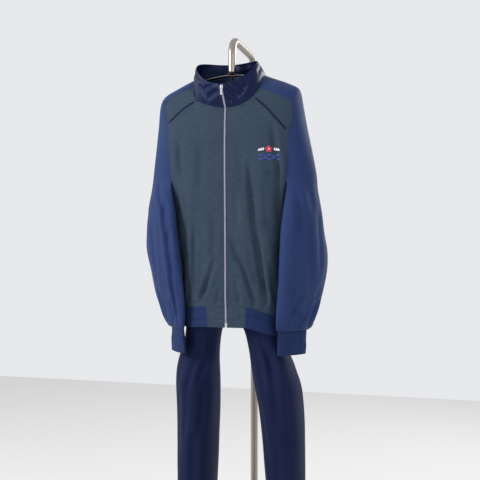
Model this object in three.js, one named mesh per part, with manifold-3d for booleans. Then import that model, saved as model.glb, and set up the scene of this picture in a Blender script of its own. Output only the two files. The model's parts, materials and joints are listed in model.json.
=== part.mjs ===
// A zip-front tracksuit: a jacket worn over its trousers, on a garment display stand.
// Millimetres, +Z up, +X to the viewer's right, and the front faces -Y. The origin is on the floor, under
// the middle of the stand's shoulder bar. Each cut piece of cloth is a thin wall of its own, with the outline
// and the largest folds that it has when it hangs. "Left" and "right" in the names are the wearer's.

import * as THREE from "three";
import { mergeVertices } from "three/addons/utils/BufferGeometryUtils.js";
import Module from "manifold-3d";

const wasm = await Module();
wasm.setup();

// Driving dimensions of the cloth.
const CLOTH = 1.5; // wall of the knitted cloth
const RIB = 2.2; // wall of the doubled collar, cuffs and bands
const SEAM = 0.3; // gap between two sewn pieces
const RIB_SEAM = 0.5; // how far the collar and the cuffs draw back from their seams
const HEM_Z = 825; // lower edge of the jacket
const BAND_Z = 881; // upper edge of the jacket's hem band
const NECK_FRONT_Z = 1416; // collar seam at the zip
const ZIP_EDGE = 3.3; // from the centre line to the folded front edge
const TROUSER_HEM_Z = 100;
const WAIST_Z = 1120; // seam under the waistband
const WAISTBAND_TALL = 40;
const CUFF_TALL = 64;

// Driving dimensions of the stand.
const POST_Y = 255; // the post stands behind the clothes
const POST_RADIUS = 11;
const POST_TOP_Z = 1620;
const POST_BEND = 45;
const BASE = { wide: 420, front: -150, back: 290, thick: 8, corner: 30 };
const SHOULDER_BAR = { deep: 15, tall: 6, under: 8.6 };

// The wearer's left is at +X, the viewer's right.
const LEFT = 1;
const RIGHT = -1;
const SIDES = [
  { name: "left", side: LEFT },
  { name: "right", side: RIGHT },
];

// Horizontal sections of the jacket's body: half width, how much the back is wider than the front, the
// centre front and centre back, and how square the section is (2 is an ellipse).
const BODY = [
  { z: 1515, half: 88, skew: 0, front: -14, back: 13, square: 2 },
  { z: 1496, half: 130, skew: 0, front: -30, back: 25, square: 2.1 },
  { z: 1475, half: 176, skew: 0, front: -46, back: 38, square: 2.2 },
  { z: 1453, half: 198, skew: 0, front: -57, back: 47, square: 2.3 },
  { z: 1425, half: 206, skew: 0.01, front: -66, back: 56, square: 2.4 },
  { z: 1375, half: 203, skew: 0.02, front: -72, back: 64, square: 2.6 },
  { z: 1334, half: 199, skew: 0.03, front: -74, back: 69, square: 2.8 },
  { z: 1275, half: 190, skew: 0.04, front: -74, back: 75, square: 3 },
  { z: 1222, half: 183, skew: 0.06, front: -73, back: 79, square: 3 },
  { z: 1180, half: 175, skew: 0.09, front: -72, back: 80, square: 3 },
  { z: 1100, half: 167, skew: 0.12, front: -70, back: 81, square: 3 },
  { z: 1000, half: 160, skew: 0.14, front: -68, back: 82, square: 3 },
  { z: 905, half: 153, skew: 0.15, front: -67, back: 82, square: 3 },
  { z: 881, half: 146, skew: 0.15, front: -64, back: 78, square: 3 },
  { z: 825, half: 143, skew: 0.15, front: -62, back: 75, square: 3 },
];

// Ribs of each sleeve from the neck, over the shoulder and down to the underarm: where it meets the front
// (x, z), its outermost point (x, y, z) and where it meets the back (x, z).
const SLEEVE_RIBS = {
  left: [
    { frontX: 87, frontZ: 1470, outX: 93, outY: 0, outZ: 1511, backX: 89, backZ: 1493 },
    { frontX: 108, frontZ: 1462, outX: 118, outY: 0, outZ: 1501, backX: 112, backZ: 1484 },
    { frontX: 130, frontZ: 1454, outX: 142, outY: 0, outZ: 1492, backX: 136, backZ: 1474 },
    { frontX: 154, frontZ: 1444, outX: 164, outY: 0, outZ: 1483, backX: 160, backZ: 1463 },
    { frontX: 175, frontZ: 1430, outX: 181, outY: 0, outZ: 1476, backX: 181, backZ: 1449 },
    { frontX: 180, frontZ: 1412, outX: 190, outY: 1, outZ: 1468, backX: 187, backZ: 1428 },
    { frontX: 179, frontZ: 1394, outX: 194, outY: 2, outZ: 1452, backX: 187, backZ: 1405 },
    { frontX: 177, frontZ: 1377, outX: 198, outY: 3, outZ: 1429, backX: 185, backZ: 1382 },
    { frontX: 173, frontZ: 1362, outX: 202, outY: 4, outZ: 1406, backX: 182, backZ: 1360 },
    { frontX: 169, frontZ: 1347, outX: 206, outY: 5, outZ: 1380, backX: 179, backZ: 1338 },
    { frontX: 168, frontZ: 1318, outX: 213, outY: 6, outZ: 1345, backX: 177, backZ: 1312 },
    { frontX: 167, frontZ: 1290, outX: 221, outY: 7, outZ: 1308, backX: 175, backZ: 1288 },
    { frontX: 165, frontZ: 1262, outX: 229, outY: 8, outZ: 1272, backX: 173, backZ: 1264 },
    { frontX: 162, frontZ: 1240, outX: 234, outY: 9, outZ: 1245, backX: 171, backZ: 1242 },
    { frontX: 160, frontZ: 1222, outX: 237, outY: 10, outZ: 1222, backX: 169, backZ: 1222 },
  ],
  right: [
    { frontX: 99, frontZ: 1484, outX: 105, outY: 0, outZ: 1509, backX: 101, backZ: 1488 },
    { frontX: 118, frontZ: 1477, outX: 124, outY: 0, outZ: 1500, backX: 118, backZ: 1480 },
    { frontX: 138, frontZ: 1469, outX: 146, outY: 0, outZ: 1489, backX: 140, backZ: 1470 },
    { frontX: 158, frontZ: 1460, outX: 168, outY: 0, outZ: 1479, backX: 162, backZ: 1460 },
    { frontX: 180, frontZ: 1447, outX: 188, outY: 0, outZ: 1469, backX: 183, backZ: 1447 },
    { frontX: 183, frontZ: 1434, outX: 200, outY: 1, outZ: 1458, backX: 188, backZ: 1427 },
    { frontX: 183, frontZ: 1421, outX: 207, outY: 2, outZ: 1443, backX: 188, backZ: 1405 },
    { frontX: 180, frontZ: 1408, outX: 211, outY: 3, outZ: 1424, backX: 185, backZ: 1382 },
    { frontX: 176, frontZ: 1394, outX: 213, outY: 4, outZ: 1402, backX: 182, backZ: 1360 },
    { frontX: 172, frontZ: 1380, outX: 215, outY: 5, outZ: 1378, backX: 179, backZ: 1338 },
    { frontX: 171, frontZ: 1345, outX: 219, outY: 6, outZ: 1345, backX: 177, backZ: 1312 },
    { frontX: 170, frontZ: 1310, outX: 224, outY: 7, outZ: 1308, backX: 175, backZ: 1288 },
    { frontX: 167, frontZ: 1279, outX: 230, outY: 8, outZ: 1272, backX: 173, backZ: 1264 },
    { frontX: 163, frontZ: 1248, outX: 234, outY: 9, outZ: 1245, backX: 171, backZ: 1242 },
    { frontX: 160, frontZ: 1222, outX: 237, outY: 10, outZ: 1222, backX: 169, backZ: 1222 },
  ],
};
const SADDLE_RIBS = 5; // ribs that cross the top of the shoulder
const YOKE_RIBS = 10; // ribs down to the end of the yoke seam

// Rings of each hanging sleeve below the underarm: its centre, the way that its flat width runs, half of
// that width, and how far it bulges away from the body and towards it.
const SLEEVE_RINGS = {
  left: [
    { z: 1190, x: 180, y: 9, turn: 73, wide: 66, out: 58, inn: -3 },
    { z: 1134, x: 191, y: 0, turn: 64, wide: 78, out: 52, inn: 16 },
    { z: 1074, x: 195, y: -4, turn: 60, wide: 84, out: 48, inn: 28 },
    { z: 1030, x: 200, y: -5, turn: 57, wide: 88, out: 45, inn: 33 },
    { z: 994, x: 200, y: -6, turn: 57, wide: 90, out: 44, inn: 34 },
    { z: 950, x: 196, y: -7, turn: 56, wide: 86, out: 40, inn: 30 },
    { z: 905, x: 189, y: -8, turn: 54, wide: 80, out: 36, inn: 26 },
    { z: 868, x: 183, y: -9, turn: 53, wide: 74, out: 33, inn: 22 },
    { z: 838, x: 178, y: -10, turn: 51, wide: 67, out: 30, inn: 20 },
    { z: 822, x: 175, y: -11, turn: 49, wide: 61, out: 26, inn: 18 },
  ],
  right: [
    { z: 1190, x: 182, y: 8, turn: 67, wide: 69, out: 56, inn: 0 },
    { z: 1134, x: 192, y: -1, turn: 53, wide: 82, out: 52, inn: 13 },
    { z: 1074, x: 196, y: -8, turn: 50, wide: 91, out: 46, inn: 22 },
    { z: 1030, x: 196, y: -8, turn: 47, wide: 96, out: 44, inn: 24 },
    { z: 994, x: 188, y: -7, turn: 48, wide: 93, out: 43, inn: 21 },
    { z: 950, x: 180, y: -10, turn: 47, wide: 90, out: 41, inn: 17 },
    { z: 905, x: 173, y: -8, turn: 47, wide: 85, out: 37, inn: 14 },
    { z: 868, x: 166, y: -8, turn: 49, wide: 75, out: 34, inn: 15 },
    { z: 838, x: 160, y: -10, turn: 50, wide: 64, out: 27, inn: 13 },
    { z: 822, x: 157, y: -12, turn: 51, wide: 58, out: 23, inn: 12 },
  ],
};
const UNDERARM_Z = 1222;
const SLEEVE_ROWS = 13; // rows of the tube below the underarm
const SLEEVE_END_Z = 822;
const CUFF_TOP_Z = 816;

// Each cuff: centre at the top and at the bottom, turn, half width and half thickness.
const CUFFS = {
  left: { topX: 172, topY: -12, endX: 170, endY: -14, turn: 47, endTurn: 47, wide: 47, thick: 13 },
  right: { topX: 152, topY: -18, endX: 145, endY: -30, turn: 54, endTurn: 50, wide: 47, thick: 12 },
};

// The neckline from the zip to where the yoke seam starts, and the yoke seam from there to the armhole.
const NECK = {
  left: [
    { x: ZIP_EDGE, z: 1416 },
    { x: 18, z: 1417 },
    { x: 33, z: 1419.5 },
    { x: 48, z: 1425 },
    { x: 62, z: 1433.5 },
    { x: 74, z: 1444 },
  ],
  right: [
    { x: ZIP_EDGE, z: 1416 },
    { x: 20, z: 1417 },
    { x: 37, z: 1421 },
    { x: 54, z: 1427 },
    { x: 70, z: 1433.5 },
    { x: 84, z: 1441 },
  ],
};
const YOKE_SEAM = {
  left: [
    { x: 74, z: 1444 },
    { x: 98, z: 1425 },
    { x: 124, z: 1399 },
    { x: 148, z: 1371 },
    { x: 169, z: 1347 },
  ],
  right: [
    { x: 84, z: 1441 },
    { x: 107, z: 1429 },
    { x: 133, z: 1412 },
    { x: 153, z: 1396 },
    { x: 172, z: 1380 },
  ],
};
// The bow of the neckline between the yoke seam and the shoulder, outwards in x.
const NECK_SIDE_BOW = { left: 2, right: 4 };
const BACK_NECK = { z: 1486, cells: 9 };

// Folds of the jacket's body as lines on it, from a top point to a bottom point: how deep, how wide. A
// negative depth is a valley. x is measured along the front or the back from the centre line.
const BODY_FOLDS = [
  { side: LEFT, back: false, topX: 118, topZ: 1380, endX: 146, endZ: 1130, depth: -4, width: 13 },
  { side: LEFT, back: false, topX: 66, topZ: 1310, endX: 104, endZ: 890, depth: -6, width: 14 },
  { side: LEFT, back: false, topX: 14, topZ: 1080, endX: 86, endZ: 892, depth: -5, width: 11 },
  { side: LEFT, back: false, topX: 92, topZ: 1300, endX: 128, endZ: 900, depth: 5, width: 14 },
  { side: LEFT, back: false, topX: 40, topZ: 1250, endX: 58, endZ: 930, depth: 3, width: 18 },
  { side: RIGHT, back: false, topX: 92, topZ: 1120, endX: 62, endZ: 890, depth: -4, width: 12 },
  { side: RIGHT, back: false, topX: 128, topZ: 1370, endX: 136, endZ: 960, depth: -4, width: 14 },
  { side: RIGHT, back: false, topX: 98, topZ: 1330, endX: 112, endZ: 900, depth: 3, width: 16 },
  { side: RIGHT, back: false, topX: 60, topZ: 1130, endX: 34, endZ: 895, depth: 3, width: 14 },
  { side: LEFT, back: true, topX: 60, topZ: 1380, endX: 74, endZ: 900, depth: -6, width: 17 },
  { side: LEFT, back: true, topX: 118, topZ: 1340, endX: 128, endZ: 895, depth: -5, width: 15 },
  { side: LEFT, back: true, topX: 92, topZ: 1300, endX: 102, endZ: 900, depth: 4, width: 15 },
  { side: RIGHT, back: true, topX: 44, topZ: 1360, endX: 52, endZ: 895, depth: -6, width: 17 },
  { side: RIGHT, back: true, topX: 104, topZ: 1350, endX: 116, endZ: 900, depth: -5, width: 16 },
  { side: RIGHT, back: true, topX: 76, topZ: 1310, endX: 86, endZ: 910, depth: 4, width: 15 },
];

// Folds of the sleeves: angle round the sleeve from its outermost line, towards the front if negative.
const SLEEVE_FOLDS = [
  { side: LEFT, topTurn: -38, topZ: 1160, endTurn: -26, endZ: 850, depth: -5, width: 12 },
  { side: LEFT, topTurn: -5, topZ: 1060, endTurn: 6, endZ: 840, depth: -4, width: 11 },
  { side: LEFT, topTurn: -62, topZ: 960, endTurn: -50, endZ: 836, depth: 4, width: 12 },
  { side: LEFT, topTurn: 50, topZ: 1180, endTurn: 40, endZ: 860, depth: -5, width: 13 },
  { side: RIGHT, topTurn: -72, topZ: 1190, endTurn: -58, endZ: 838, depth: -7, width: 11 },
  { side: RIGHT, topTurn: -34, topZ: 1100, endTurn: -26, endZ: 850, depth: -4, width: 12 },
  { side: RIGHT, topTurn: 44, topZ: 1180, endTurn: 36, endZ: 860, depth: -5, width: 13 },
];

// The jacket hangs lower at its left side: how far, and between which distances from the centre line.
const DROOP = { left: 21, right: 4, fromX: 52, toX: 130, endsZ: 985 };

// Horizontal sections of each trouser leg: inner and outer side, centre and half of the depth. Above the
// crotch the two legs share one section, and the inner side is past the centre line.
const CROTCH_Z = 858;
const LEGS = {
  left: [
    { z: 1160, inner: -126, outer: 126, y: 5, deep: 49 },
    { z: 1000, inner: -130, outer: 130, y: 6, deep: 54 },
    { z: 930, inner: -118, outer: 131, y: 8, deep: 56 },
    { z: 890, inner: -66, outer: 132, y: 10, deep: 56 },
    { z: 870, inner: -24, outer: 132, y: 10, deep: 56 },
    { z: 858, inner: 0, outer: 132, y: 10, deep: 55 },
    { z: 846, inner: 22, outer: 132, y: 10, deep: 54 },
    { z: 800, inner: 40, outer: 129, y: 12, deep: 53 },
    { z: 784, inner: 43, outer: 138, y: 22, deep: 56 },
    { z: 742, inner: 48, outer: 141, y: 32, deep: 58 },
    { z: 722, inner: 53, outer: 177, y: 14, deep: 76 },
    { z: 687, inner: 60, outer: 188, y: 10, deep: 84 },
    { z: 618, inner: 76, outer: 196, y: 10, deep: 86 },
    { z: 480, inner: 92, outer: 202, y: 10, deep: 82 },
    { z: 300, inner: 101, outer: 202, y: 10, deep: 74 },
    { z: 100, inner: 104, outer: 199, y: 10, deep: 66 },
  ],
  right: [
    { z: 1160, inner: -126, outer: 126, y: 5, deep: 49 },
    { z: 1000, inner: -130, outer: 130, y: 6, deep: 54 },
    { z: 930, inner: -118, outer: 131, y: 8, deep: 56 },
    { z: 890, inner: -66, outer: 132, y: 10, deep: 56 },
    { z: 870, inner: -24, outer: 132, y: 10, deep: 56 },
    { z: 858, inner: 0, outer: 132, y: 10, deep: 55 },
    { z: 846, inner: 20, outer: 132, y: 10, deep: 54 },
    { z: 800, inner: 42, outer: 140, y: 22, deep: 54 },
    { z: 784, inner: 46, outer: 143, y: 30, deep: 54 },
    { z: 742, inner: 48, outer: 146, y: 36, deep: 56 },
    { z: 722, inner: 46, outer: 170, y: 20, deep: 70 },
    { z: 687, inner: 41, outer: 163, y: 10, deep: 84 },
    { z: 618, inner: 41, outer: 156, y: 10, deep: 86 },
    { z: 480, inner: 46, outer: 155, y: 10, deep: 82 },
    { z: 300, inner: 54, outer: 155, y: 10, deep: 74 },
    { z: 100, inner: 58, outer: 153, y: 10, deep: 66 },
  ],
};

// Folds of the legs: angle from the outer side, towards the front if negative.
const LEG_FOLDS = [
  { side: LEFT, topTurn: -128, topZ: 800, endTurn: -104, endZ: 480, depth: 5, width: 17 },
  { side: LEFT, topTurn: -84, topZ: 860, endTurn: -72, endZ: 420, depth: -7, width: 15 },
  { side: LEFT, topTurn: -44, topZ: 800, endTurn: -46, endZ: 520, depth: 3, width: 15 },
  { side: LEFT, topTurn: 96, topZ: 860, endTurn: 84, endZ: 380, depth: -7, width: 16 },
  { side: LEFT, topTurn: -100, topZ: 360, endTurn: -94, endZ: 130, depth: 4, width: 14 },
  { side: RIGHT, topTurn: -132, topZ: 850, endTurn: -122, endZ: 600, depth: -5, width: 12 },
  { side: RIGHT, topTurn: -88, topZ: 850, endTurn: -84, endZ: 480, depth: 5, width: 16 },
  { side: RIGHT, topTurn: -52, topZ: 840, endTurn: -58, endZ: 520, depth: -5, width: 14 },
  { side: RIGHT, topTurn: 92, topZ: 860, endTurn: 84, endZ: 380, depth: -7, width: 16 },
  { side: RIGHT, topTurn: -96, topZ: 360, endTurn: -90, endZ: 130, depth: 4, width: 14 },
];

// The collar's upper edge: centre, half width and half depth of its ring, and its heights.
const COLLAR_TOP = { x: -8, y: -27, wide: 86, deep: 53, frontZ: 1479, sideZ: 1541, backZ: 1552 };
const COLLAR_BULGE = 3;
const COLLAR_ROWS = 4;

const COLOURS = {
  slate: { color: 0x44525f, roughness: 0.9 },
  blue: { color: 0x35477a, roughness: 0.75 },
  navy: { color: 0x232f56, roughness: 0.8 },
  dark: { color: 0x171c3a, roughness: 0.8 },
  collar: { color: 0x1b2147, roughness: 0.5 },
  zip: { color: 0x8f8ca6, roughness: 0.45 },
  metal: { color: 0xb9b6ba, roughness: 0.35, metalness: 0.9 },
  post: { color: 0x8d8578, roughness: 0.35, metalness: 0.85 },
  base: { color: 0x3c3c3f, roughness: 0.6, metalness: 0.3 },
};

// Small mathematics.
const lerp = (a, b, t) => a + (b - a) * t;
const clamp = (v, low, high) => Math.min(high, Math.max(low, v));
const smooth = (t) => t * t * (3 - 2 * t);
const ramp = (v, from, to) => smooth(clamp((v - from) / (to - from), 0, 1));
const radians = (degrees) => (degrees * Math.PI) / 180;
const point = (x, y, z) => new THREE.Vector3(x, y, z);
const signedPower = (v, power) => Math.sign(v) * Math.abs(v) ** power;

// One named column of a table of heights, as a smooth function of z that never overshoots its rows.
function column(rows, name) {
  const sorted = [...rows].sort((p, q) => p.z - q.z);
  const z = sorted.map((row) => row.z);
  const value = sorted.map((row) => row[name]);
  const step = value.slice(1).map((v, i) => (v - value[i]) / (z[i + 1] - z[i]));
  const slope = value.map((v, i) => {
    const before = step[i - 1] ?? step[0];
    const after = step[i] ?? step[step.length - 1];
    return before * after <= 0 ? 0 : (2 * before * after) / (before + after);
  });
  return (at) => {
    if (at <= z[0]) return value[0];
    const i = Math.min(z.findIndex((h) => h >= at) - 1, z.length - 2);
    if (i < 0) return value[value.length - 1];
    const span = z[i + 1] - z[i];
    const t = (at - z[i]) / span;
    return (
      value[i] * (1 + 2 * t) * (1 - t) ** 2 +
      slope[i] * span * t * (1 - t) ** 2 +
      value[i + 1] * t * t * (3 - 2 * t) +
      slope[i + 1] * span * t * t * (t - 1)
    );
  };
}

function columns(rows) {
  const names = Object.keys(rows[0]).filter((name) => name !== "z");
  return Object.fromEntries(names.map((name) => [name, column(rows, name)]));
}

// How far a fold line lifts or sinks the cloth at a point beside it.
function foldHeight(fold, across, z, lineAt) {
  const along = (fold.topZ - z) / (fold.topZ - fold.endZ);
  if (along < -0.15 || along > 1.15) return 0;
  const away = (across - lineAt(clamp(along, 0, 1))) / fold.width;
  const ends = ramp(along, -0.15, 0.25) * (1 - ramp(along, 0.85, 1.15));
  return fold.depth * ends * Math.exp(-away * away);
}

// Walls of cloth. A surface is a list of corner points and triangles, each with the piece it belongs to.
class Surface {
  constructor() {
    this.points = [];
    this.keys = new Map();
    this.faces = [];
  }

  corner(p) {
    const key = [p.x, p.y, p.z].map((v) => Math.round(v * 200)).join();
    if (!this.keys.has(key)) {
      this.keys.set(key, this.points.length);
      this.points.push(p.clone());
    }
    return this.keys.get(key);
  }

  // A grid of rows of points. Its faces point outwards when rows run down and columns run anticlockwise
  // seen from above, and flip turns them round.
  grid(piece, rows, flip = false) {
    const ids = rows.map((row) => row.map((p) => this.corner(p)));
    for (let r = 0; r + 1 < ids.length; r += 1) {
      for (let c = 0; c + 1 < ids[r].length; c += 1) {
        const [a, b, d, e] = [ids[r][c], ids[r][c + 1], ids[r + 1][c], ids[r + 1][c + 1]];
        const halves = (r + c) % 2 ? [[a, d, b], [b, d, e]] : [[a, d, e], [a, e, b]];
        for (const [i, j, k] of halves) {
          if (i !== j && j !== k && k !== i) this.faces.push({ piece, at: flip ? [i, k, j] : [i, j, k] });
        }
      }
    }
  }

  normals() {
    const sums = this.points.map(() => point(0, 0, 0));
    for (const { at } of this.faces) {
      const [a, b, c] = at.map((i) => this.points[i]);
      const area = b.clone().sub(a).cross(c.clone().sub(a));
      for (const i of at) sums[i].add(area);
    }
    return sums.map((n) => n.normalize());
  }

  // The wall of one piece: its faces, the same faces moved inwards, and a rim along its edges. Its edges
  // draw back by half of the seam's gap, within the surface.
  wall(piece, thickness, normals = this.normals(), gap = SEAM / 2) {
    const faces = this.faces.filter((f) => f.piece === piece).map((f) => f.at);
    const edges = new Map();
    for (const [a, b, c] of faces) {
      for (const [i, j] of [[a, b], [b, c], [c, a]]) edges.set(`${i},${j}`, [i, j]);
    }
    const rim = [...edges.values()].filter(([i, j]) => !edges.has(`${j},${i}`));
    const inwards = new Map();
    for (const [i, j] of rim) {
      const along = this.points[j].clone().sub(this.points[i]);
      for (const k of [i, j]) {
        const sum = inwards.get(k) ?? point(0, 0, 0);
        inwards.set(k, sum.add(normals[k].clone().cross(along).normalize()));
      }
    }
    const used = [...new Set(faces.flat())];
    const place = new Map(used.map((id, n) => [id, n]));
    const outer = used.map((id) => {
      const p = this.points[id].clone();
      return inwards.has(id) ? p.addScaledVector(inwards.get(id).normalize(), gap) : p;
    });
    const inner = used.map((id, n) => outer[n].clone().addScaledVector(normals[id], -thickness));
    const count = used.length;
    const triangles = [];
    for (const face of faces) {
      const [a, b, c] = face.map((id) => place.get(id));
      triangles.push(a, b, c, a + count, c + count, b + count);
    }
    for (const [i, j] of rim) {
      const [a, b] = [place.get(i), place.get(j)];
      triangles.push(b, a, a + count, b, a + count, b + count);
    }
    return solidGeometry([...outer, ...inner], triangles);
  }
}

function solidGeometry(points, triangles) {
  const geometry = new THREE.BufferGeometry();
  const numbers = points.flatMap((p) => [p.x, p.y, p.z]);
  geometry.setAttribute("position", new THREE.Float32BufferAttribute(numbers, 3));
  geometry.setIndex(triangles);
  geometry.computeVertexNormals();
  return geometry;
}

// Six times the volume that closed triangles hold: negative if they face inwards.
function signedVolume(points, triangles) {
  let sum = 0;
  for (let i = 0; i < triangles.length; i += 3) {
    const [a, b, c] = [points[triangles[i]], points[triangles[i + 1]], points[triangles[i + 2]]];
    sum += a.dot(b.clone().cross(c));
  }
  return sum;
}

// A solid through rings of points, with a flat cap at each end.
function loft(rings) {
  const around = rings[0].length;
  const points = rings.flat();
  const triangles = [];
  for (let r = 0; r + 1 < rings.length; r += 1) {
    for (let c = 0; c < around; c += 1) {
      const [a, b] = [r * around + c, r * around + ((c + 1) % around)];
      triangles.push(a, b, b + around, a, b + around, a + around);
    }
  }
  const last = (rings.length - 1) * around;
  for (let c = 1; c + 1 < around; c += 1) {
    triangles.push(0, c + 1, c, last, last + c, last + c + 1);
  }
  return solidGeometry(points, signedVolume(points, triangles) > 0 ? triangles : triangles.reverse());
}

// Booleans of closed geometries.
function toManifold(geometry) {
  const bare = new THREE.BufferGeometry();
  bare.setAttribute("position", geometry.getAttribute("position").clone());
  if (geometry.index) bare.setIndex(geometry.index);
  const merged = mergeVertices(bare, 1e-4);
  return new wasm.Manifold(
    new wasm.Mesh({
      numProp: 3,
      vertProperties: new Float32Array(merged.attributes.position.array),
      triVerts: new Uint32Array(merged.index.array),
    }),
  );
}

function fromManifold(solid) {
  const mesh = solid.getMesh();
  const geometry = new THREE.BufferGeometry();
  geometry.setAttribute("position", new THREE.BufferAttribute(new Float32Array(mesh.vertProperties), 3));
  geometry.setIndex([...mesh.triVerts]);
  geometry.computeVertexNormals();
  return geometry;
}

const join = (...parts) => fromManifold(parts.map(toManifold).reduce((sum, next) => sum.add(next)));

// The jacket's body.
const body = columns(BODY);
const SECTION_STEPS = 180;
const sectionCache = new Map();

// Half of a horizontal section, from the centre front round the side to the centre back, with the distance
// along it at each point.
function halfSection(z) {
  const key = z.toFixed(3);
  if (sectionCache.has(key)) return sectionCache.get(key);
  const [half, skew, front, back] = [body.half(z), body.skew(z), body.front(z), body.back(z)];
  const power = 2 / body.square(z);
  const middle = (front + back) / 2;
  const deep = (back - front) / 2;
  const points = [];
  for (let i = 0; i <= SECTION_STEPS; i += 1) {
    const turn = radians(-90 + (180 * i) / SECTION_STEPS);
    const share = signedPower(Math.sin(turn), power);
    const x = half * Math.cos(turn) ** power * (1 + skew * share);
    points.push({ x, y: middle + deep * share });
  }
  points[0].along = 0;
  for (let i = 1; i < points.length; i += 1) {
    const step = Math.hypot(points[i].x - points[i - 1].x, points[i].y - points[i - 1].y);
    points[i].along = points[i - 1].along + step;
  }
  const made = { points, length: points[points.length - 1].along };
  sectionCache.set(key, made);
  return made;
}

function bodyFold(side, along, length, z) {
  const lift = BODY_FOLDS.filter((fold) => fold.side === side).map((fold) => {
    const across = fold.back ? length - along : along;
    return foldHeight(fold, across, z, (t) => lerp(fold.topX, fold.endX, t));
  });
  const clearOfCentre = ramp(Math.min(along, length - along), 6, 22);
  return lift.reduce((sum, v) => sum + v, 0) * clearOfCentre;
}

// The hem hangs lower at the sides.
function drooped(side, x, z) {
  const most = side === LEFT ? DROOP.left : DROOP.right;
  return z - most * ramp(x, DROOP.fromX, DROOP.toX) * (1 - ramp(z, BAND_Z, DROOP.endsZ));
}

// A point of the jacket's body, at a distance along its section from the centre front.
function bodyPoint(side, along, z) {
  const { points, length } = halfSection(z);
  const at = clamp(along, 0, length);
  let i = points.findIndex((p) => p.along >= at);
  i = Math.max(i, 1);
  const [p, q] = [points[i - 1], points[i]];
  const t = (at - p.along) / (q.along - p.along);
  const [dx, dy] = [q.x - p.x, q.y - p.y];
  const size = Math.hypot(dx, dy);
  const lift = bodyFold(side, at, length, z);
  const x = lerp(p.x, q.x, t) + (dy / size) * lift;
  const y = lerp(p.y, q.y, t) - (dx / size) * lift;
  return point(side * x, y, drooped(side, x, z));
}

// The distance along a section to a given x, on the front or on the back.
function alongToX(z, x, back = false) {
  const { points, length } = halfSection(z);
  const run = back ? [...points].reverse() : points;
  const i = run.findIndex((p) => p.x >= x);
  if (i <= 0) return back ? length : 0;
  const t = (x - run[i - 1].x) / (run[i].x - run[i - 1].x);
  return lerp(run[i - 1].along, run[i].along, t);
}

const frontPoint = (side, x, z) => bodyPoint(side, alongToX(z, x), z);
const backPoint = (side, x, z) => bodyPoint(side, alongToX(z, x, true), z);

// The torso's panels. A place on one is given by its share of the way round from the centre front to the
// centre back, and its height.
const CHEST_ROWS = 9; // rows from the underarm down to the hem band
const RIB_CELLS = 14;
const YOKE_CELLS = 4;
const UNDERARM_CELLS = 3;
const SIDE_SEAM_Y = 6;
const HEM_FRONT_CELLS = 5; // columns of the slate front part of the hem band
const HEM_ROWS = 2;
const SLEEVE_INNER_CELLS = 2 * UNDERARM_CELLS;
const UNDERARM_GAP = 0.8; // between the sleeve's inner side and the body's side where they part

const surface = new Surface();
const transpose = (grid) => grid[0].map((unused, i) => grid.map((row) => row[i]));
const steps = (count) => Array.from({ length: count + 1 }, (unused, i) => i / count);
const lengthAt = (z) => halfSection(z).length;
const onBody = (side, { share, z }) => bodyPoint(side, share * lengthAt(z), z);

// A line of equal steps at one height, and one down the body at the share that a function gives.
const levelLine = (from, to, z, cells) => steps(cells).map((t) => ({ share: lerp(from, to, t), z }));
const fallLine = (place, from, to, cells) => steps(cells).map((t) => {
  const z = lerp(from, to, t);
  return { share: place(z), z };
});
const zipShare = (z) => ZIP_EDGE / lengthAt(z);
const seamShare = (z) => halfSection(z).points.find((p) => p.y >= SIDE_SEAM_Y).along / lengthAt(z);
const centreBack = () => 1;

// A grid between four lines: its top and bottom, and its two sides from the top down.
function patch(side, top, bottom, first, last) {
  const mix = (key, i, j) => {
    const [u, v] = [i / (top.length - 1), j / (first.length - 1)];
    const between = lerp(top[i][key], bottom[i][key], v) + lerp(first[j][key], last[j][key], u);
    const upper = lerp(top[0][key], top.at(-1)[key], u);
    const lower = lerp(bottom[0][key], bottom.at(-1)[key], u);
    return between - lerp(upper, lower, v);
  };
  return first.map((unused, j) => {
    return top.map((at, i) => onBody(side, { share: mix("share", i, j), z: mix("z", i, j) }));
  });
}

// A smooth line through points of the front that are given by x and z.
function sampled(points, count) {
  const curve = new THREE.CatmullRomCurve3(points.map((p) => point(p.x, 0, p.z)), false, "centripetal");
  return steps(count).map((t) => curve.getPoint(t)).map((p) => ({ x: p.x, z: p.z }));
}

// The seams of one side as lines of places on the body.
function seamLines(sideName) {
  const ribs = SLEEVE_RIBS[sideName];
  const onFront = ({ x, z }) => ({ share: alongToX(z, x) / lengthAt(z), z });
  const onBack = ({ x, z }) => ({ share: alongToX(z, x, true) / lengthAt(z), z });
  const first = ribs[0];
  const corner = NECK[sideName].at(-1);
  const neckSide = steps(YOKE_CELLS).map((t) => ({
    x: lerp(corner.x, first.frontX, t) + NECK_SIDE_BOW[sideName] * 4 * t * (1 - t),
    z: lerp(corner.z, first.frontZ, t),
  }));
  const backNeck = steps(BACK_NECK.cells).map((t) => ({
    x: first.backX * t,
    z: lerp(BACK_NECK.z, first.backZ, t * t),
  }));
  return {
    neck: NECK[sideName].map(onFront),
    neckSide: neckSide.map(onFront),
    yokeSeam: sampled(YOKE_SEAM[sideName], YOKE_RIBS - 1).map(onFront),
    frontRibs: ribs.map((rib) => onFront({ x: rib.frontX, z: rib.frontZ })),
    backRibs: ribs.map((rib) => onBack({ x: rib.backX, z: rib.backZ })),
    backNeck: backNeck.map(onBack).reverse(),
  };
}

// Each sleeve's rib is half of an ellipse from the front seam, over its outermost point, to the back seam.
function ribCurve(side, rib) {
  const front = frontPoint(side, rib.frontX, rib.frontZ);
  const back = backPoint(side, rib.backX, rib.backZ);
  const middle = front.clone().add(back).multiplyScalar(0.5);
  const across = back.clone().sub(front).multiplyScalar(0.5);
  const bulge = point(side * rib.outX, rib.outY, rib.outZ).sub(middle);
  return steps(RIB_CELLS).map((t) => {
    const turn = Math.PI * (t - 0.5);
    const p = middle.clone().addScaledVector(across, Math.sin(turn));
    return p.addScaledVector(bulge, Math.cos(turn));
  });
}

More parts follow.
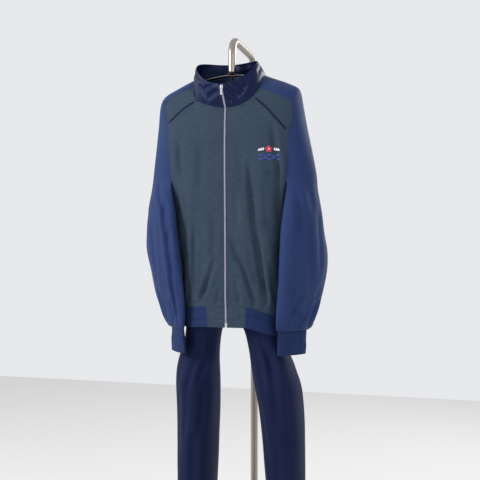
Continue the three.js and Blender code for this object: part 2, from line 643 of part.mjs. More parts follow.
function sleeveFold(side, degrees, z) {
  return SLEEVE_FOLDS.filter((fold) => fold.side === side)
    .map((fold) => foldHeight(fold, degrees, z, (t) => lerp(fold.topTurn, fold.endTurn, t)))
    .reduce((sum, v) => sum + v, 0);
}

// One closed ring of a hanging sleeve: the outer half from its front edge, then the inner half back to it.
function sleeveRing(side, ring, z) {
  const turn = radians(ring.turn);
  const u = point(Math.cos(turn), Math.sin(turn), 0);
  const v = point(Math.sin(turn), -Math.cos(turn), 0);
  const at = (angle, depth) => {
    const lift = 1 + sleeveFold(side, angle - 90, z) / Math.max(20, depth);
    const p = point(ring.x, ring.y, z).addScaledVector(u, -ring.wide * Math.cos(radians(angle)));
    p.addScaledVector(v, depth * Math.sin(radians(angle)) * lift);
    return point(side * p.x, p.y, z);
  };
  const outer = steps(RIB_CELLS).map((t) => at(180 * t, ring.out));
  const inner = steps(SLEEVE_INNER_CELLS).map((t) => at(180 + 180 * t, ring.inn));
  return [...outer, ...inner.slice(1)];
}

function cuffRing(side, cuff, share, z, grow = 0) {
  const x = lerp(cuff.topX, cuff.endX, share);
  const y = lerp(cuff.topY, cuff.endY, share);
  const wide = cuff.wide + grow;
  const thick = cuff.thick + grow;
  const turn = lerp(cuff.turn, cuff.endTurn, share);
  return sleeveRing(side, { x, y, turn, wide, out: thick, inn: thick }, z);
}

// Both fronts, the back and the hem band, from the seams of each side.
const collarSeams = {};

function addFront(name, side, seams) {
  const flip = side === RIGHT;
  const top = [...seams.neck, ...seams.yokeSeam.slice(1)];
  const armhole = seams.frontRibs.slice(YOKE_RIBS - 1);
  const cells = top.length - 1;
  const end = armhole.at(-1).share;
  const chest = levelLine(zipShare(UNDERARM_Z), end, UNDERARM_Z, cells);
  const zip = fallLine(zipShare, NECK_FRONT_Z, UNDERARM_Z, armhole.length - 1);
  surface.grid(`front_${name}`, patch(side, top, chest, zip, armhole), flip);
  const under = levelLine(end, seamShare(UNDERARM_Z), UNDERARM_Z, UNDERARM_CELLS).slice(1);
  const hem = levelLine(zipShare(BAND_Z), seamShare(BAND_Z), BAND_Z, cells + UNDERARM_CELLS);
  const lowerZip = fallLine(zipShare, UNDERARM_Z, BAND_Z, CHEST_ROWS);
  const lowerSeam = fallLine(seamShare, UNDERARM_Z, BAND_Z, CHEST_ROWS);
  surface.grid(`front_${name}`, patch(side, [...chest, ...under], hem, lowerZip, lowerSeam), flip);
  return hem;
}

function addBack(side, seams) {
  const flip = side === RIGHT;
  const corner = SADDLE_RIBS - 1;
  const top = [...seams.backRibs.slice(0, SADDLE_RIBS).reverse(), ...seams.backNeck.slice(1)];
  const armhole = seams.backRibs.slice(corner);
  const cells = top.length - 1;
  const end = armhole.at(-1).share;
  const chest = levelLine(end, 1, UNDERARM_Z, cells);
  const centre = fallLine(centreBack, BACK_NECK.z, UNDERARM_Z, armhole.length - 1);
  surface.grid("back", patch(side, top, chest, armhole, centre), flip);
  const under = levelLine(seamShare(UNDERARM_Z), end, UNDERARM_Z, UNDERARM_CELLS).slice(0, -1);
  const hem = levelLine(seamShare(BAND_Z), 1, BAND_Z, cells + UNDERARM_CELLS);
  const lowerSeam = fallLine(seamShare, UNDERARM_Z, BAND_Z, CHEST_ROWS);
  const lowerCentre = fallLine(centreBack, UNDERARM_Z, BAND_Z, CHEST_ROWS);
  surface.grid("back", patch(side, [...under, ...chest], hem, lowerSeam, lowerCentre), flip);
  return hem;
}

function addYoke(name, side, seams) {
  const rows = steps(YOKE_CELLS).map((t, j) => {
    return seams.frontRibs.slice(0, YOKE_RIBS).map((rib, i) => {
      if (i === 0) return onBody(side, seams.neckSide[YOKE_CELLS - j]);
      const low = seams.yokeSeam[i];
      return onBody(side, { share: lerp(rib.share, low.share, t), z: lerp(rib.z, low.z, t) });
    });
  });
  surface.grid(`yoke_${name}`, rows, side === RIGHT);
}

function addSleeve(name, side) {
  const flip = side === RIGHT;
  const ribs = SLEEVE_RIBS[name].map((rib) => ribCurve(side, rib));
  surface.grid(`sleeve_${name}`, ribs, flip);
  const seam = seamShare(UNDERARM_Z);
  const last = SLEEVE_RIBS[name].at(-1);
  const backShare = alongToX(UNDERARM_Z, last.backX, true) / lengthAt(UNDERARM_Z);
  const frontShare = alongToX(UNDERARM_Z, last.frontX) / lengthAt(UNDERARM_Z);
  const under = [
    ...levelLine(backShare, seam, UNDERARM_Z, UNDERARM_CELLS),
    ...levelLine(seam, frontShare, UNDERARM_Z, UNDERARM_CELLS).slice(1),
  ];
  const inner = under.slice(1, -1).map((at) => onBody(side, at).add(point(side * UNDERARM_GAP, 0, 0)));
  const firstRing = [...ribs.at(-1), ...inner, ribs.at(-1)[0]];
  const table = columns(SLEEVE_RINGS[name]);
  const lowered = steps(SLEEVE_ROWS).slice(1).map((t) => {
    const z = lerp(UNDERARM_Z, SLEEVE_END_Z, t);
    const ring = Object.fromEntries(Object.entries(table).map(([key, value]) => [key, value(z)]));
    return sleeveRing(side, ring, z);
  });
  surface.grid(`sleeve_${name}`, [firstRing, ...lowered, cuffRing(side, CUFFS[name], 0, CUFF_TOP_Z)], flip);
  return ribs[0];
}

function addCuff(name, side) {
  const rows = [0, 0.12, 0.9, 1].map((t) => {
    const tuck = t === 0 || t === 1 ? 0 : 1.2;
    return cuffRing(side, CUFFS[name], t, CUFF_TOP_Z - CUFF_TALL * t, tuck);
  });
  surface.grid(`cuff_${name}`, rows, side === RIGHT);
}

function addBand(name, side, front, back) {
  const row = (line, atZip) => (t) => {
    const z = lerp(BAND_Z, HEM_Z, t);
    return line.map(({ share }, i) => onBody(side, { share: atZip && i === 0 ? zipShare(z) : share, z }));
  };
  const slate = front.slice(0, HEM_FRONT_CELLS + 1);
  const navy = [...front.slice(HEM_FRONT_CELLS), ...back.slice(1)];
  surface.grid(`hem_front_${name}`, steps(HEM_ROWS).map(row(slate, true)), side === RIGHT);
  surface.grid("hem_band", steps(HEM_ROWS).map(row(navy, false)), side === RIGHT);
}

for (const { name, side } of SIDES) {
  const seams = seamLines(name);
  const frontHem = addFront(name, side, seams);
  const backHem = addBack(side, seams);
  addYoke(name, side, seams);
  const shoulder = addSleeve(name, side);
  addCuff(name, side);
  addBand(name, side, frontHem, backHem);
  collarSeams[name] = [
    ...[...seams.neck, ...seams.neckSide.slice(1)].map((at) => onBody(side, at)),
    ...shoulder.slice(1),
    ...seams.backNeck.slice(1).map((at) => onBody(side, at)),
  ];
}

// The collar stands from the neck seam to its own upper edge.
function collarColumns(name, side) {
  const seam = collarSeams[name];
  const lengths = [0];
  for (let i = 1; i < seam.length; i += 1) lengths.push(lengths[i - 1] + seam[i].distanceTo(seam[i - 1]));
  const startAngle = -90 + THREE.MathUtils.radToDeg(ZIP_EDGE / COLLAR_TOP.wide);
  return seam.map((foot, i) => {
    const angle = radians(lerp(startAngle, 90, lengths[i] / lengths.at(-1)));
    const t = (1 + Math.sin(angle)) / 2;
    const { frontZ, sideZ, backZ } = COLLAR_TOP;
    const height = frontZ * (1 - t) * (1 - 2 * t) + sideZ * 4 * t * (1 - t) + backZ * t * (2 * t - 1);
    const x = COLLAR_TOP.x + side * COLLAR_TOP.wide * Math.cos(angle);
    const top = point(x, COLLAR_TOP.y + COLLAR_TOP.deep * Math.sin(angle), height);
    const away = point(side * Math.cos(angle), Math.sin(angle), 0);
    return steps(COLLAR_ROWS).map((share) => {
      const up = 1 - share;
      const p = foot.clone().lerp(top, up);
      return p.addScaledVector(away, COLLAR_BULGE * 4 * up * (1 - up));
    });
  });
}

const collarFront = {};
for (const { name, side } of SIDES) {
  const made = collarColumns(name, side);
  collarFront[name] = made[0];
  surface.grid("collar", transpose(made), side === RIGHT);
}

// The zip's chain runs up the gap between the two front edges.
const zipPath = [];
for (const t of steps(14)) {
  const z = lerp(HEM_Z, NECK_FRONT_Z, t);
  zipPath.push(point(0, bodyPoint(LEFT, ZIP_EDGE, z).y, z));
}
for (let row = COLLAR_ROWS - 1; row >= 0; row -= 1) {
  zipPath.push(collarFront.left[row].clone().add(collarFront.right[row]).multiplyScalar(0.5));
}

const CHAIN = { half: 2.8, proud: 0.5, sunk: 1.3 };
const BOX = { tall: 11, up: 0.7, proud: 1.4 };

function chainRing(p, proud = CHAIN.proud, sunk = CHAIN.sunk) {
  const front = p.y - proud;
  const back = p.y + sunk;
  const [low, high] = [p.x - CHAIN.half, p.x + CHAIN.half];
  return [point(low, front, p.z), point(low, back, p.z), point(high, back, p.z), point(high, front, p.z)];
}

const zipCurveAt = (z) => {
  const i = clamp(zipPath.findIndex((p) => p.z >= z), 1, zipPath.length - 1);
  const t = (z - zipPath[i - 1].z) / (zipPath[i].z - zipPath[i - 1].z);
  return zipPath[i - 1].clone().lerp(zipPath[i], t);
};
const chainStart = HEM_Z + 1 + BOX.tall;
const chainEnd = zipPath.at(-1).z - 1.5;
const chainPath = [
  zipCurveAt(chainStart),
  ...zipPath.filter((p) => p.z > chainStart + 2 && p.z < chainEnd - 2),
  zipCurveAt(chainEnd),
];

// The slider sits at the top of the chain, and its pull tab hangs in front of it from the bridge.
const SLIDER = { z: chainEnd - 9, wide: 8.4, tall: 11, thick: 1.4, clear: 0.9 };
const BRIDGE = { wide: 2.2, long: 6.4, foot: 1.2, rise: 2.8, bar: 0.9, sunk: 0.2 };
const PULL = { pin: 0.55, out: 1.5, arm: 0.9, hole: 3.2, holeLong: 3.6, wide: 5.6, long: 21, thick: 1.1 };

function tapered(wide, tall, thick) {
  const shape = new THREE.Shape();
  shape.moveTo(-wide * 0.38, -tall / 2);
  shape.lineTo(wide * 0.38, -tall / 2);
  shape.lineTo(wide / 2, -tall * 0.1);
  shape.lineTo(wide / 2, tall / 2);
  shape.lineTo(wide * 0.16, tall / 2);
  shape.lineTo(0, tall * 0.4);
  shape.lineTo(-wide * 0.16, tall / 2);
  shape.lineTo(-wide / 2, tall / 2);
  shape.lineTo(-wide / 2, -tall * 0.1);
  shape.closePath();
  return new THREE.ExtrudeGeometry(shape, { depth: thick, bevelEnabled: false });
}

const box = (wide, deep, tall, x, y, z) => new THREE.BoxGeometry(wide, deep, tall).translate(x, y, z);

const sliderAt = zipCurveAt(SLIDER.z);
const sliderFront = sliderAt.y - CHAIN.proud - SLIDER.clear - SLIDER.thick;
const pinY = sliderFront - PULL.out;

function sliderGeometry() {
  const plate = tapered(SLIDER.wide, SLIDER.tall, SLIDER.thick).rotateX(Math.PI / 2);
  plate.translate(sliderAt.x, sliderFront + SLIDER.thick, SLIDER.z);
  const legY = sliderFront - BRIDGE.rise / 2 + BRIDGE.sunk / 2;
  const barY = sliderFront - BRIDGE.rise - BRIDGE.bar / 2 + BRIDGE.sunk / 2;
  const legs = [-1, 1].map((end) => {
    const z = SLIDER.z + (end * (BRIDGE.long - BRIDGE.foot)) / 2;
    return box(BRIDGE.wide, BRIDGE.rise + BRIDGE.sunk, BRIDGE.foot, sliderAt.x, legY, z);
  });
  const bar = box(BRIDGE.wide, BRIDGE.bar, BRIDGE.long, sliderAt.x, barY, SLIDER.z);
  return join(plate, ...legs, bar);
}

function pullGeometry() {
  const half = PULL.wide / 2;
  const shape = new THREE.Shape();
  shape.moveTo(-half, PULL.pin);
  shape.lineTo(-half, -PULL.long + half);
  shape.absarc(0, -PULL.long + half, half, Math.PI, 2 * Math.PI, false);
  shape.lineTo(half, PULL.pin);
  shape.closePath();
  const hole = new THREE.Path();
  const inside = PULL.hole / 2;
  hole.moveTo(-inside, -PULL.pin);
  hole.lineTo(inside, -PULL.pin);
  hole.lineTo(inside, -PULL.pin - PULL.holeLong);
  hole.lineTo(-inside, -PULL.pin - PULL.holeLong);
  hole.closePath();
  shape.holes.push(hole);
  const plate = new THREE.ExtrudeGeometry(shape, { depth: PULL.thick, bevelEnabled: false, curveSegments: 8 });
  plate.translate(0, 0, -PULL.thick / 2).rotateX(Math.PI / 2);
  return plate.translate(sliderAt.x, pinY, SLIDER.z);
}

// The piping lies over the yoke seam.
const PIPING = { half: 2.7, under: 0.45, thick: 1.3 };

function pipingGeometry(name, side) {
  const seam = sampled(YOKE_SEAM[name], 12).slice(1, -1);
  const at = (p, dx = 0, dz = 0) => frontPoint(side, p.x + dx, p.z + dz);
  const rings = seam.map((p, i) => {
    const here = at(p);
    const before = at(seam[Math.max(0, i - 1)]);
    const after = at(seam[Math.min(seam.length - 1, i + 1)]);
    const along = after.clone().sub(before).normalize();
    const out = at(p, 3).sub(at(p, -3)).cross(at(p, 0, 3).sub(at(p, 0, -3))).normalize();
    out.multiplyScalar(Math.sign(-out.y));
    const across = out.clone().cross(along).normalize().multiplyScalar(PIPING.half);
    const low = here.clone().addScaledVector(out, PIPING.under);
    const high = here.clone().addScaledVector(out, PIPING.under + PIPING.thick);
    return [
      low.clone().sub(across),
      low.clone().add(across),
      high.clone().addScaledVector(across, 0.6),
      high.clone().addScaledVector(across, -0.6),
    ];
  });
  return loft(rings);
}

// The trousers, in four panels, hang from the waistband. Above the crotch the panels meet on the centre
// line.
const LEG_ROWS_ABOVE = [WAIST_Z, 1060, 1000, 945, 905, 880, CROTCH_Z];
const LEG_ROWS_BELOW = 14;
const LEG_CELLS = 9;
const LEG_SQUARE = 2.3;
const trousers = new Surface();

function legPoint(side, table, back, share, z) {
  const [inner, outer, y, deep] = [table.inner(z), table.outer(z), table.y(z), table.deep(z)];
  const middle = (inner + outer) / 2;
  const half = (outer - inner) / 2;
  const power = 2 / LEG_SQUARE;
  const cut = inner < 0 ? Math.acos(clamp((Math.abs(middle) / half) ** (1 / power), 0, 1)) : 0;
  const angle = lerp(Math.PI - cut, 0, share);
  const degrees = THREE.MathUtils.radToDeg(angle) * (back ? 1 : -1);
  const lift = LEG_FOLDS.filter((fold) => fold.side === side)
    .map((fold) => foldHeight(fold, degrees, z, (t) => lerp(fold.topTurn, fold.endTurn, t)))
    .reduce((sum, v) => sum + v, 0);
  const clear = z > HEM_Z - 20 ? 0 : 1;
  const grow = 1 + (clear * lift) / deep;
  const x = middle + half * signedPower(Math.cos(angle), power) * (1 + (clear * lift * 0.4) / half);
  const depth = deep * Math.sin(angle) ** power * grow;
  const nearMiddle = cut > 0 && share === 0 ? 0 : x;
  return point(side * Math.max(nearMiddle, 0), y + (back ? depth : -depth), z);
}

for (const { name, side } of SIDES) {
  const table = columns(LEGS[name]);
  const rows = [
    ...LEG_ROWS_ABOVE,
    ...steps(LEG_ROWS_BELOW).slice(1).map((t) => lerp(CROTCH_Z, TROUSER_HEM_Z, t ** 1.15)),
  ];
  const front = rows.map((z) => steps(LEG_CELLS).map((t) => legPoint(side, table, false, t, z)));
  const back = rows.map((z) => steps(LEG_CELLS).map((t) => legPoint(side, table, true, 1 - t, z)));
  trousers.grid(`leg_front_${name}`, front, side === RIGHT);
  trousers.grid(`leg_back_${name}`, back, side === RIGHT);
  const band = [WAIST_Z + WAISTBAND_TALL, WAIST_Z].map((z) => {
    const half = (isBack, share) => legPoint(side, table, isBack, share, z);
    const run = steps(LEG_CELLS);
    return [...run.map((t) => half(false, t)), ...run.slice(1).map((t) => half(true, 1 - t))];
  });
  trousers.grid("waistband", band, side === RIGHT);
}

// The stand: a base plate, one bent post behind the clothes, a shoulder bar in the jacket, and a rod down
// to the bar whose clips hold the trousers by the waistband.
const BAR_HALF_TALL = SHOULDER_BAR.tall / 2;
const BAR_MIDDLE_Z = 1516;
const BAR_FLAT_TO = 30; // how far out from the middle the shoulder bar is level
const ROD_RADIUS = 4;
const ROD_SIDES = 12;
const POST_SIDES = 14;
const FIT = 0.3; // gap between metal pieces that rest on each other
const JOIN_FIT = 0.5; // gap at each end of an upright that carries the shoulder bar
const TROUSER_BAR_Z = 1174;
const JAW = { thick: 2, deep: 9, grip: 16, slack: 0.45, over: 3, roof: 4, draw: 1.4, stem: 2.4, stemSides: 10 };

function postGeometry() {
  const around = Array.from({ length: POST_SIDES }, (unused, i) => {
    const turn = (2 * Math.PI * i) / POST_SIDES;
    return [POST_RADIUS * Math.cos(turn), POST_RADIUS * Math.sin(turn)];
  });
  const arc = (centreY, centreZ, from, to) => {
    return steps(8).map((t) => {
      const turn = radians(lerp(from, to, t));
      return point(0, centreY + POST_BEND * Math.cos(turn), centreZ + POST_BEND * Math.sin(turn));
    });
  };
  const bendZ = POST_TOP_Z - POST_BEND;
  const path = [
    point(0, POST_Y, BASE.thick + FIT),
    point(0, POST_Y, bendZ - 20),
    ...arc(POST_Y - POST_BEND, bendZ, 0, 90),
    ...arc(POST_BEND, bendZ, 90, 180),
    point(0, 0, BAR_MIDDLE_Z + 40),
    point(0, 0, BAR_MIDDLE_Z + BAR_HALF_TALL + JOIN_FIT),
  ];
  const rings = path.map((p, i) => {
    const before = path[Math.max(0, i - 1)];
    const after = path[Math.min(path.length - 1, i + 1)];
    const ahead = after.clone().sub(before).normalize();
    const right = point(1, 0, 0);
    const up = ahead.clone().cross(right);
    return around.map(([a, b]) => p.clone().addScaledVector(right, a).addScaledVector(up, b));
  });
  return loft(rings);
}

function shoulderBarGeometry() {
  const under = SHOULDER_BAR.under;
  const arm = (name, side) => SLEEVE_RIBS[name].slice(0, SADDLE_RIBS).map((rib) => {
    return point(side * rib.outX, rib.outY, rib.outZ - under);
  });
  const middle = [RIGHT, LEFT].map((side) => point(side * BAR_FLAT_TO, 0, BAR_MIDDLE_Z));
  const path = [...arm("right", RIGHT).reverse(), ...middle, ...arm("left", LEFT)];
  const half = SHOULDER_BAR.deep / 2;
  const rings = path.map((p, i) => {
    const before = path[Math.max(0, i - 1)];
    const after = path[Math.min(path.length - 1, i + 1)];
    const ahead = after.clone().sub(before).normalize();
    const up = point(0, -1, 0).cross(ahead).normalize();
    return Array.from({ length: ROD_SIDES }, (unused, k) => {
      const turn = (2 * Math.PI * k) / ROD_SIDES;
      const q = p.clone().add(point(0, half * Math.cos(turn), 0));
      return q.addScaledVector(up, BAR_HALF_TALL * Math.sin(turn));
    });
  });
  return loft(rings);
}

function baseGeometry() {
  const [wide, tall, r] = [BASE.wide / 2, (BASE.back - BASE.front) / 2, BASE.corner];
  const shape = new THREE.Shape();
  shape.moveTo(-wide + r, -tall);
  shape.lineTo(wide - r, -tall);
  shape.absarc(wide - r, -tall + r, r, -Math.PI / 2, 0, false);
  shape.lineTo(wide, tall - r);
  shape.absarc(wide - r, tall - r, r, 0, Math.PI / 2, false);
  shape.lineTo(-wide + r, tall);
  shape.absarc(-wide + r, tall - r, r, Math.PI / 2, Math.PI, false);
  shape.lineTo(-wide, -tall + r);
  shape.absarc(-wide + r, -tall + r, r, Math.PI, 1.5 * Math.PI, false);
  const plate = new THREE.ExtrudeGeometry(shape, { depth: BASE.thick, bevelEnabled: false, curveSegments: 6 });
  return plate.translate(0, (BASE.front + BASE.back) / 2, 0);
}

const waistTable = columns(LEGS.left);
const waistTop = WAIST_Z + WAISTBAND_TALL;
const waistSide = waistTable.outer(waistTop);
const waistY = waistTable.y(waistTop);

// Each clip is an upside-down U over the waistband's upper edge.
function clipGeometry(side) {
  const outside = waistSide + JAW.slack;
  const inside = waistSide - RIB - JAW.slack - JAW.draw;
  const top = waistTop + JAW.over;
  const stemTop = TROUSER_BAR_Z - ROD_RADIUS - FIT;
  const low = waistTop - JAW.grip;
  const middle = (outside + inside) / 2;
  const wide = outside - inside + 2 * JAW.thick;
  return join(
    box(wide, JAW.deep, JAW.roof, side * middle, waistY, top),
    box(JAW.thick, JAW.deep, top - low, side * (outside + JAW.thick / 2), waistY, (top + low) / 2),
    box(JAW.thick, JAW.deep, top - low, side * (inside - JAW.thick / 2), waistY, (top + low) / 2),
    new THREE.CylinderGeometry(JAW.stem, JAW.stem, stemTop - top, JAW.stemSides)
      .rotateX(Math.PI / 2)
      .translate(side * middle, waistY, (stemTop + top) / 2),
  );
}

const rod = (length) => new THREE.CylinderGeometry(ROD_RADIUS, ROD_RADIUS, length, ROD_SIDES);

// The rod that drops from the shoulder bar is welded to the bar that carries the clips.
function trouserBarGeometry() {
  const top = BAR_MIDDLE_Z - BAR_HALF_TALL - JOIN_FIT;
  const drop = rod(top - TROUSER_BAR_Z).rotateX(Math.PI / 2);
  return join(
    rod(2 * (waistSide + ROD_RADIUS)).rotateZ(Math.PI / 2).translate(0, waistY, TROUSER_BAR_Z),
    drop.translate(0, waistY, (top + TROUSER_BAR_Z) / 2),
  );
}

// The finished group.
const group = new THREE.Group();
const finishes = Object.fromEntries(
  Object.entries(COLOURS).map(([name, finish]) => [name, new THREE.MeshStandardMaterial(finish)]),
);

function add(name, geometry, finish) {
  const mesh = new THREE.Mesh(geometry, finishes[finish]);
  mesh.name = name;
  group.add(mesh);
}

const normals = surface.normals();
const cloth = (name, finish, thickness = CLOTH, gap = SEAM / 2) => {
  add(name, surface.wall(name, thickness, normals, gap), finish);
};
for (const { name } of SIDES) {
  cloth(`front_${name}`, "slate");
  cloth(`yoke_${name}`, "slate");
  cloth(`sleeve_${name}`, "blue");
  cloth(`cuff_${name}`, "navy", RIB, RIB_SEAM);
  cloth(`hem_front_${name}`, "slate", RIB);
}
cloth("back", "slate");
cloth("hem_band", "navy", RIB);
cloth("collar", "collar", RIB, RIB_SEAM);
for (const { name, side } of SIDES) add(`piping_${name}`, pipingGeometry(name, side), "blue");
add("zip_chain", loft(chainPath.map((p) => chainRing(p))), "zip");
const boxEnds = [HEM_Z + BOX.up, chainStart - SEAM].map(zipCurveAt);
add("zip_box", loft(boxEnds.map((p) => chainRing(p, BOX.proud))), "metal");
add("zip_slider", sliderGeometry(), "metal");
add("pull_tab", pullGeometry(), "metal");

const legNormals = trousers.normals();
for (const { name } of SIDES) {
  for (const panel of [`leg_front_${name}`, `leg_back_${name}`]) {
    add(panel, trousers.wall(panel, CLOTH, legNormals), "dark");
  }
}
add("waistband", trousers.wall("waistband", RIB, legNormals), "dark");

add("stand_base", baseGeometry(), "base");
add("stand_post", postGeometry(), "post");
add("shoulder_bar", shoulderBarGeometry(), "post");
add("trouser_bar", trouserBarGeometry(), "post");
for (const { name, side } of SIDES) add(`clip_${name}`, clipGeometry(side), "metal");

export default group;
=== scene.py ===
# %% [markdown]
# A knitted tracksuit hangs on a garment stand. The solid model already holds every cut piece as a thin
# wall with its large folds. This notebook keeps that model as a fixed frame, and lays the finish over it:
# smooth cloth with small creases, seams with their stitches, a zip with teeth, an embroidered motif, and
# metal for the stand.

# %% Load the frame
import json
import math
import random

import bmesh
import bpy
import numpy as np
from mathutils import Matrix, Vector, noise
from mathutils.bvhtree import BVHTree
from mathutils.kdtree import KDTree

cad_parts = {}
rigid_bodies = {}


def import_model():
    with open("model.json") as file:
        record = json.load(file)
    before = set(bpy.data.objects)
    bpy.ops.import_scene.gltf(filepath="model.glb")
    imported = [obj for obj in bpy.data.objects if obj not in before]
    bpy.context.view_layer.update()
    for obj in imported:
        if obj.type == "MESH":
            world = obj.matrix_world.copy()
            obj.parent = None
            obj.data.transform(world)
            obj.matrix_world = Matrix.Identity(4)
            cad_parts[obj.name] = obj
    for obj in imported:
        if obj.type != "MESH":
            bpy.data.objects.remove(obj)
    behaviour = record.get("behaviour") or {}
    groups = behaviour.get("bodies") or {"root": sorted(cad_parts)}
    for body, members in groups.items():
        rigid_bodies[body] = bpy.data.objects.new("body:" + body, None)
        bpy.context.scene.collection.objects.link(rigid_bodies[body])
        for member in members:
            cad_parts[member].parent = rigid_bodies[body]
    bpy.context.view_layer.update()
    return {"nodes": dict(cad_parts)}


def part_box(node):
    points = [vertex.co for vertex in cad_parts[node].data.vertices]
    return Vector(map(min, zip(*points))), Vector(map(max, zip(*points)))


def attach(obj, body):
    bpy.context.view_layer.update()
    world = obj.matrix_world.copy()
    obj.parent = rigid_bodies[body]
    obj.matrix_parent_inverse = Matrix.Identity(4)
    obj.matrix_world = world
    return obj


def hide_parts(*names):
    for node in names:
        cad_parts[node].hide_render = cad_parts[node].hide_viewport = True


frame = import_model()
nodes = frame["nodes"]
MM = 0.001
LEFT, RIGHT = 1, -1
SIDES = (("left", LEFT), ("right", RIGHT))
print("pieces in the frame:", len(nodes))

# %% [markdown]
# The camera stands two metres away, level with the chest and a little to the right of the zip. A long
# lens keeps the sleeves and legs from spreading. The numbers are real distances, worked out from how the
# sleeves, the zip and the post behind the trousers line up.

# %% Camera
IMAGE = 480
FOCAL_PX = 755
CAMERA_AWAY = 2.090
CAMERA_TURN = math.radians(15)
CAMERA_SHIFT = 0.022
CAMERA_HEIGHT = 1.061
SENSOR_MM = 36

right_hand = Vector((math.cos(CAMERA_TURN), math.sin(CAMERA_TURN), 0))
backwards = Vector((math.sin(CAMERA_TURN), -math.cos(CAMERA_TURN), 0))
camera_data = bpy.data.cameras.new("camera")
camera_data.sensor_width = SENSOR_MM
camera_data.lens = SENSOR_MM * FOCAL_PX / IMAGE
camera = bpy.data.objects.new("camera", camera_data)
camera.location = backwards * CAMERA_AWAY + right_hand * CAMERA_SHIFT + Vector((0, 0, CAMERA_HEIGHT))
camera.rotation_euler = (math.pi / 2, 0, CAMERA_TURN)
bpy.context.scene.collection.objects.link(camera)
bpy.context.scene.camera = camera
print("camera at", [round(v, 3) for v in camera.location])

# %% [markdown]
# The stand needs something to stand on. A pale floor is enough, and it is only staging, so it isn't attached
# to any of the object's bodies. Every plain finish in this notebook is made by the same helper.


# %% Floor
def new_material(name, color, rough, metal=0.0):
    material = bpy.data.materials.new(name)
    material.use_nodes = True
    shader = material.node_tree.nodes["Principled BSDF"]
    shader.inputs["Base Color"].default_value = (*color, 1)
    shader.inputs["Roughness"].default_value = rough
    shader.inputs["Metallic"].default_value = metal
    return material, shader


def link_object(name, mesh, material=None):
    thing = bpy.data.objects.new(name, mesh)
    bpy.context.scene.collection.objects.link(thing)
    if material:
        mesh.materials.append(material)
    return thing


FLOOR_SIDE = 7.0
FLOOR_FRONT = -6.0
FLOOR_BACK = 3.2
floor_mesh = bpy.data.meshes.new("floor")
front_edge = [(-FLOOR_SIDE, FLOOR_FRONT, 0), (FLOOR_SIDE, FLOOR_FRONT, 0)]
back_edge = [(FLOOR_SIDE, FLOOR_BACK, 0), (-FLOOR_SIDE, FLOOR_BACK, 0)]
floor_mesh.from_pydata(front_edge + back_edge, [], [(0, 1, 2, 3)])
floor_material, _ = new_material("pale_floor", (0.70, 0.69, 0.68), 0.7)
floor = link_object("floor", floor_mesh, floor_material)
print("floor:", 2 * FLOOR_SIDE, "m wide")

# %% [markdown]
# Dark cloth needs broad, soft lights, or its folds vanish. A large key light hangs at the upper left, a
# weaker one fills from the right, a strip behind lifts the edges, and the pale room does the rest.


# %% Light
def area_light(name, place, aim, size, power):
    data = bpy.data.lights.new(name, "AREA")
    data.shape = "RECTANGLE"
    data.size, data.size_y = size
    data.energy = power
    lamp = bpy.data.objects.new(name, data)
    lamp.location = place
    lamp.rotation_euler = (Vector(aim) - Vector(place)).to_track_quat("-Z", "Y").to_euler()
    bpy.context.scene.collection.objects.link(lamp)


area_light("key", (-2.3, -1.7, 2.3), (0, 0, 1.1), (0.8, 1.2), 85)
area_light("fill", (2.4, -2.2, 1.4), (0, 0, 1.0), (1.2, 1.6), 22)
area_light("rim", (1.6, 2.2, 2.3), (0, 0, 1.2), (1.2, 1.0), 30)
world = bpy.data.worlds.new("room")
bpy.context.scene.world = world
world.use_nodes = True
world.node_tree.nodes["Background"].inputs["Color"].default_value = (0.80, 0.81, 0.83, 1)
world.node_tree.nodes["Background"].inputs["Strength"].default_value = 1.0
bpy.context.scene.view_settings.view_transform = "Standard"

# %% [markdown]
# A cut piece in the frame is a closed wall of triangles. Only its outer side is wanted here, as a sheet
# of four-sided faces that a subdivision surface can round. The rim is found by its width, which is the
# wall's own thickness. The larger of the two sides left over is the outer one.

# %% Outer skins of the cloth
WALL = 1.5 * MM
RIB_WALL = 2.2 * MM
MERGE = 0.02 * MM
WALL_SLACK = 0.015 * MM
ANY_ANGLE = math.radians(180)
SHARP_ABOVE = math.radians(62)
CORNER_BELOW = 146  # degrees between two rim edges that meet in a cut corner


def join_faces(bm, flat_within=ANY_ANGLE):
    """Join triangles in pairs into four-sided faces, where they lie flat enough to each other."""
    limits = {"angle_face_threshold": flat_within, "angle_shape_threshold": ANY_ANGLE}
    bmesh.ops.join_triangles(bm, faces=bm.faces, **limits)


def outer_skin(node, wall):
    bm = bmesh.new()
    bm.from_mesh(nodes[node].data)
    bmesh.ops.remove_doubles(bm, verts=bm.verts, dist=MERGE)
    rim = [f for f in bm.faces if any(abs(e.calc_length() - wall) < WALL_SLACK for e in f.edges)]
    bmesh.ops.delete(bm, geom=rim, context="FACES_ONLY")
    islands, seen = [], set()
    for first in bm.faces:
        if first in seen:
            continue
        seen.add(first)
        island, waiting = [], [first]
        while waiting:
            face = waiting.pop()
            island.append(face)
            for edge in face.edges:
                for other in edge.link_faces:
                    if other not in seen:
                        seen.add(other)
                        waiting.append(other)
        islands.append(island)
    islands.sort(key=lambda island: -sum(f.calc_area() for f in island))
    unwanted = [f for island in islands[1:] for f in island]
    bmesh.ops.delete(bm, geom=unwanted, context="FACES")
    loose = [v for v in bm.verts if not v.link_faces]
    bmesh.ops.delete(bm, geom=loose, context="VERTS")
    join_faces(bm)
    pin_corners(bm)
    return bm


def pin_corners(bm):
    """Hold the cut corners in place, so that the pieces still meet there once they are rounded."""
    pinned = bm.verts.layers.float.new("crease_vert")
    for vert in bm.verts:
        rim = [edge.other_vert(vert).co - vert.co for edge in vert.link_edges if edge.is_boundary]
        if len(rim) == 2 and rim[0].angle(rim[1]) < math.radians(CORNER_BELOW):
            vert[pinned] = 1.0

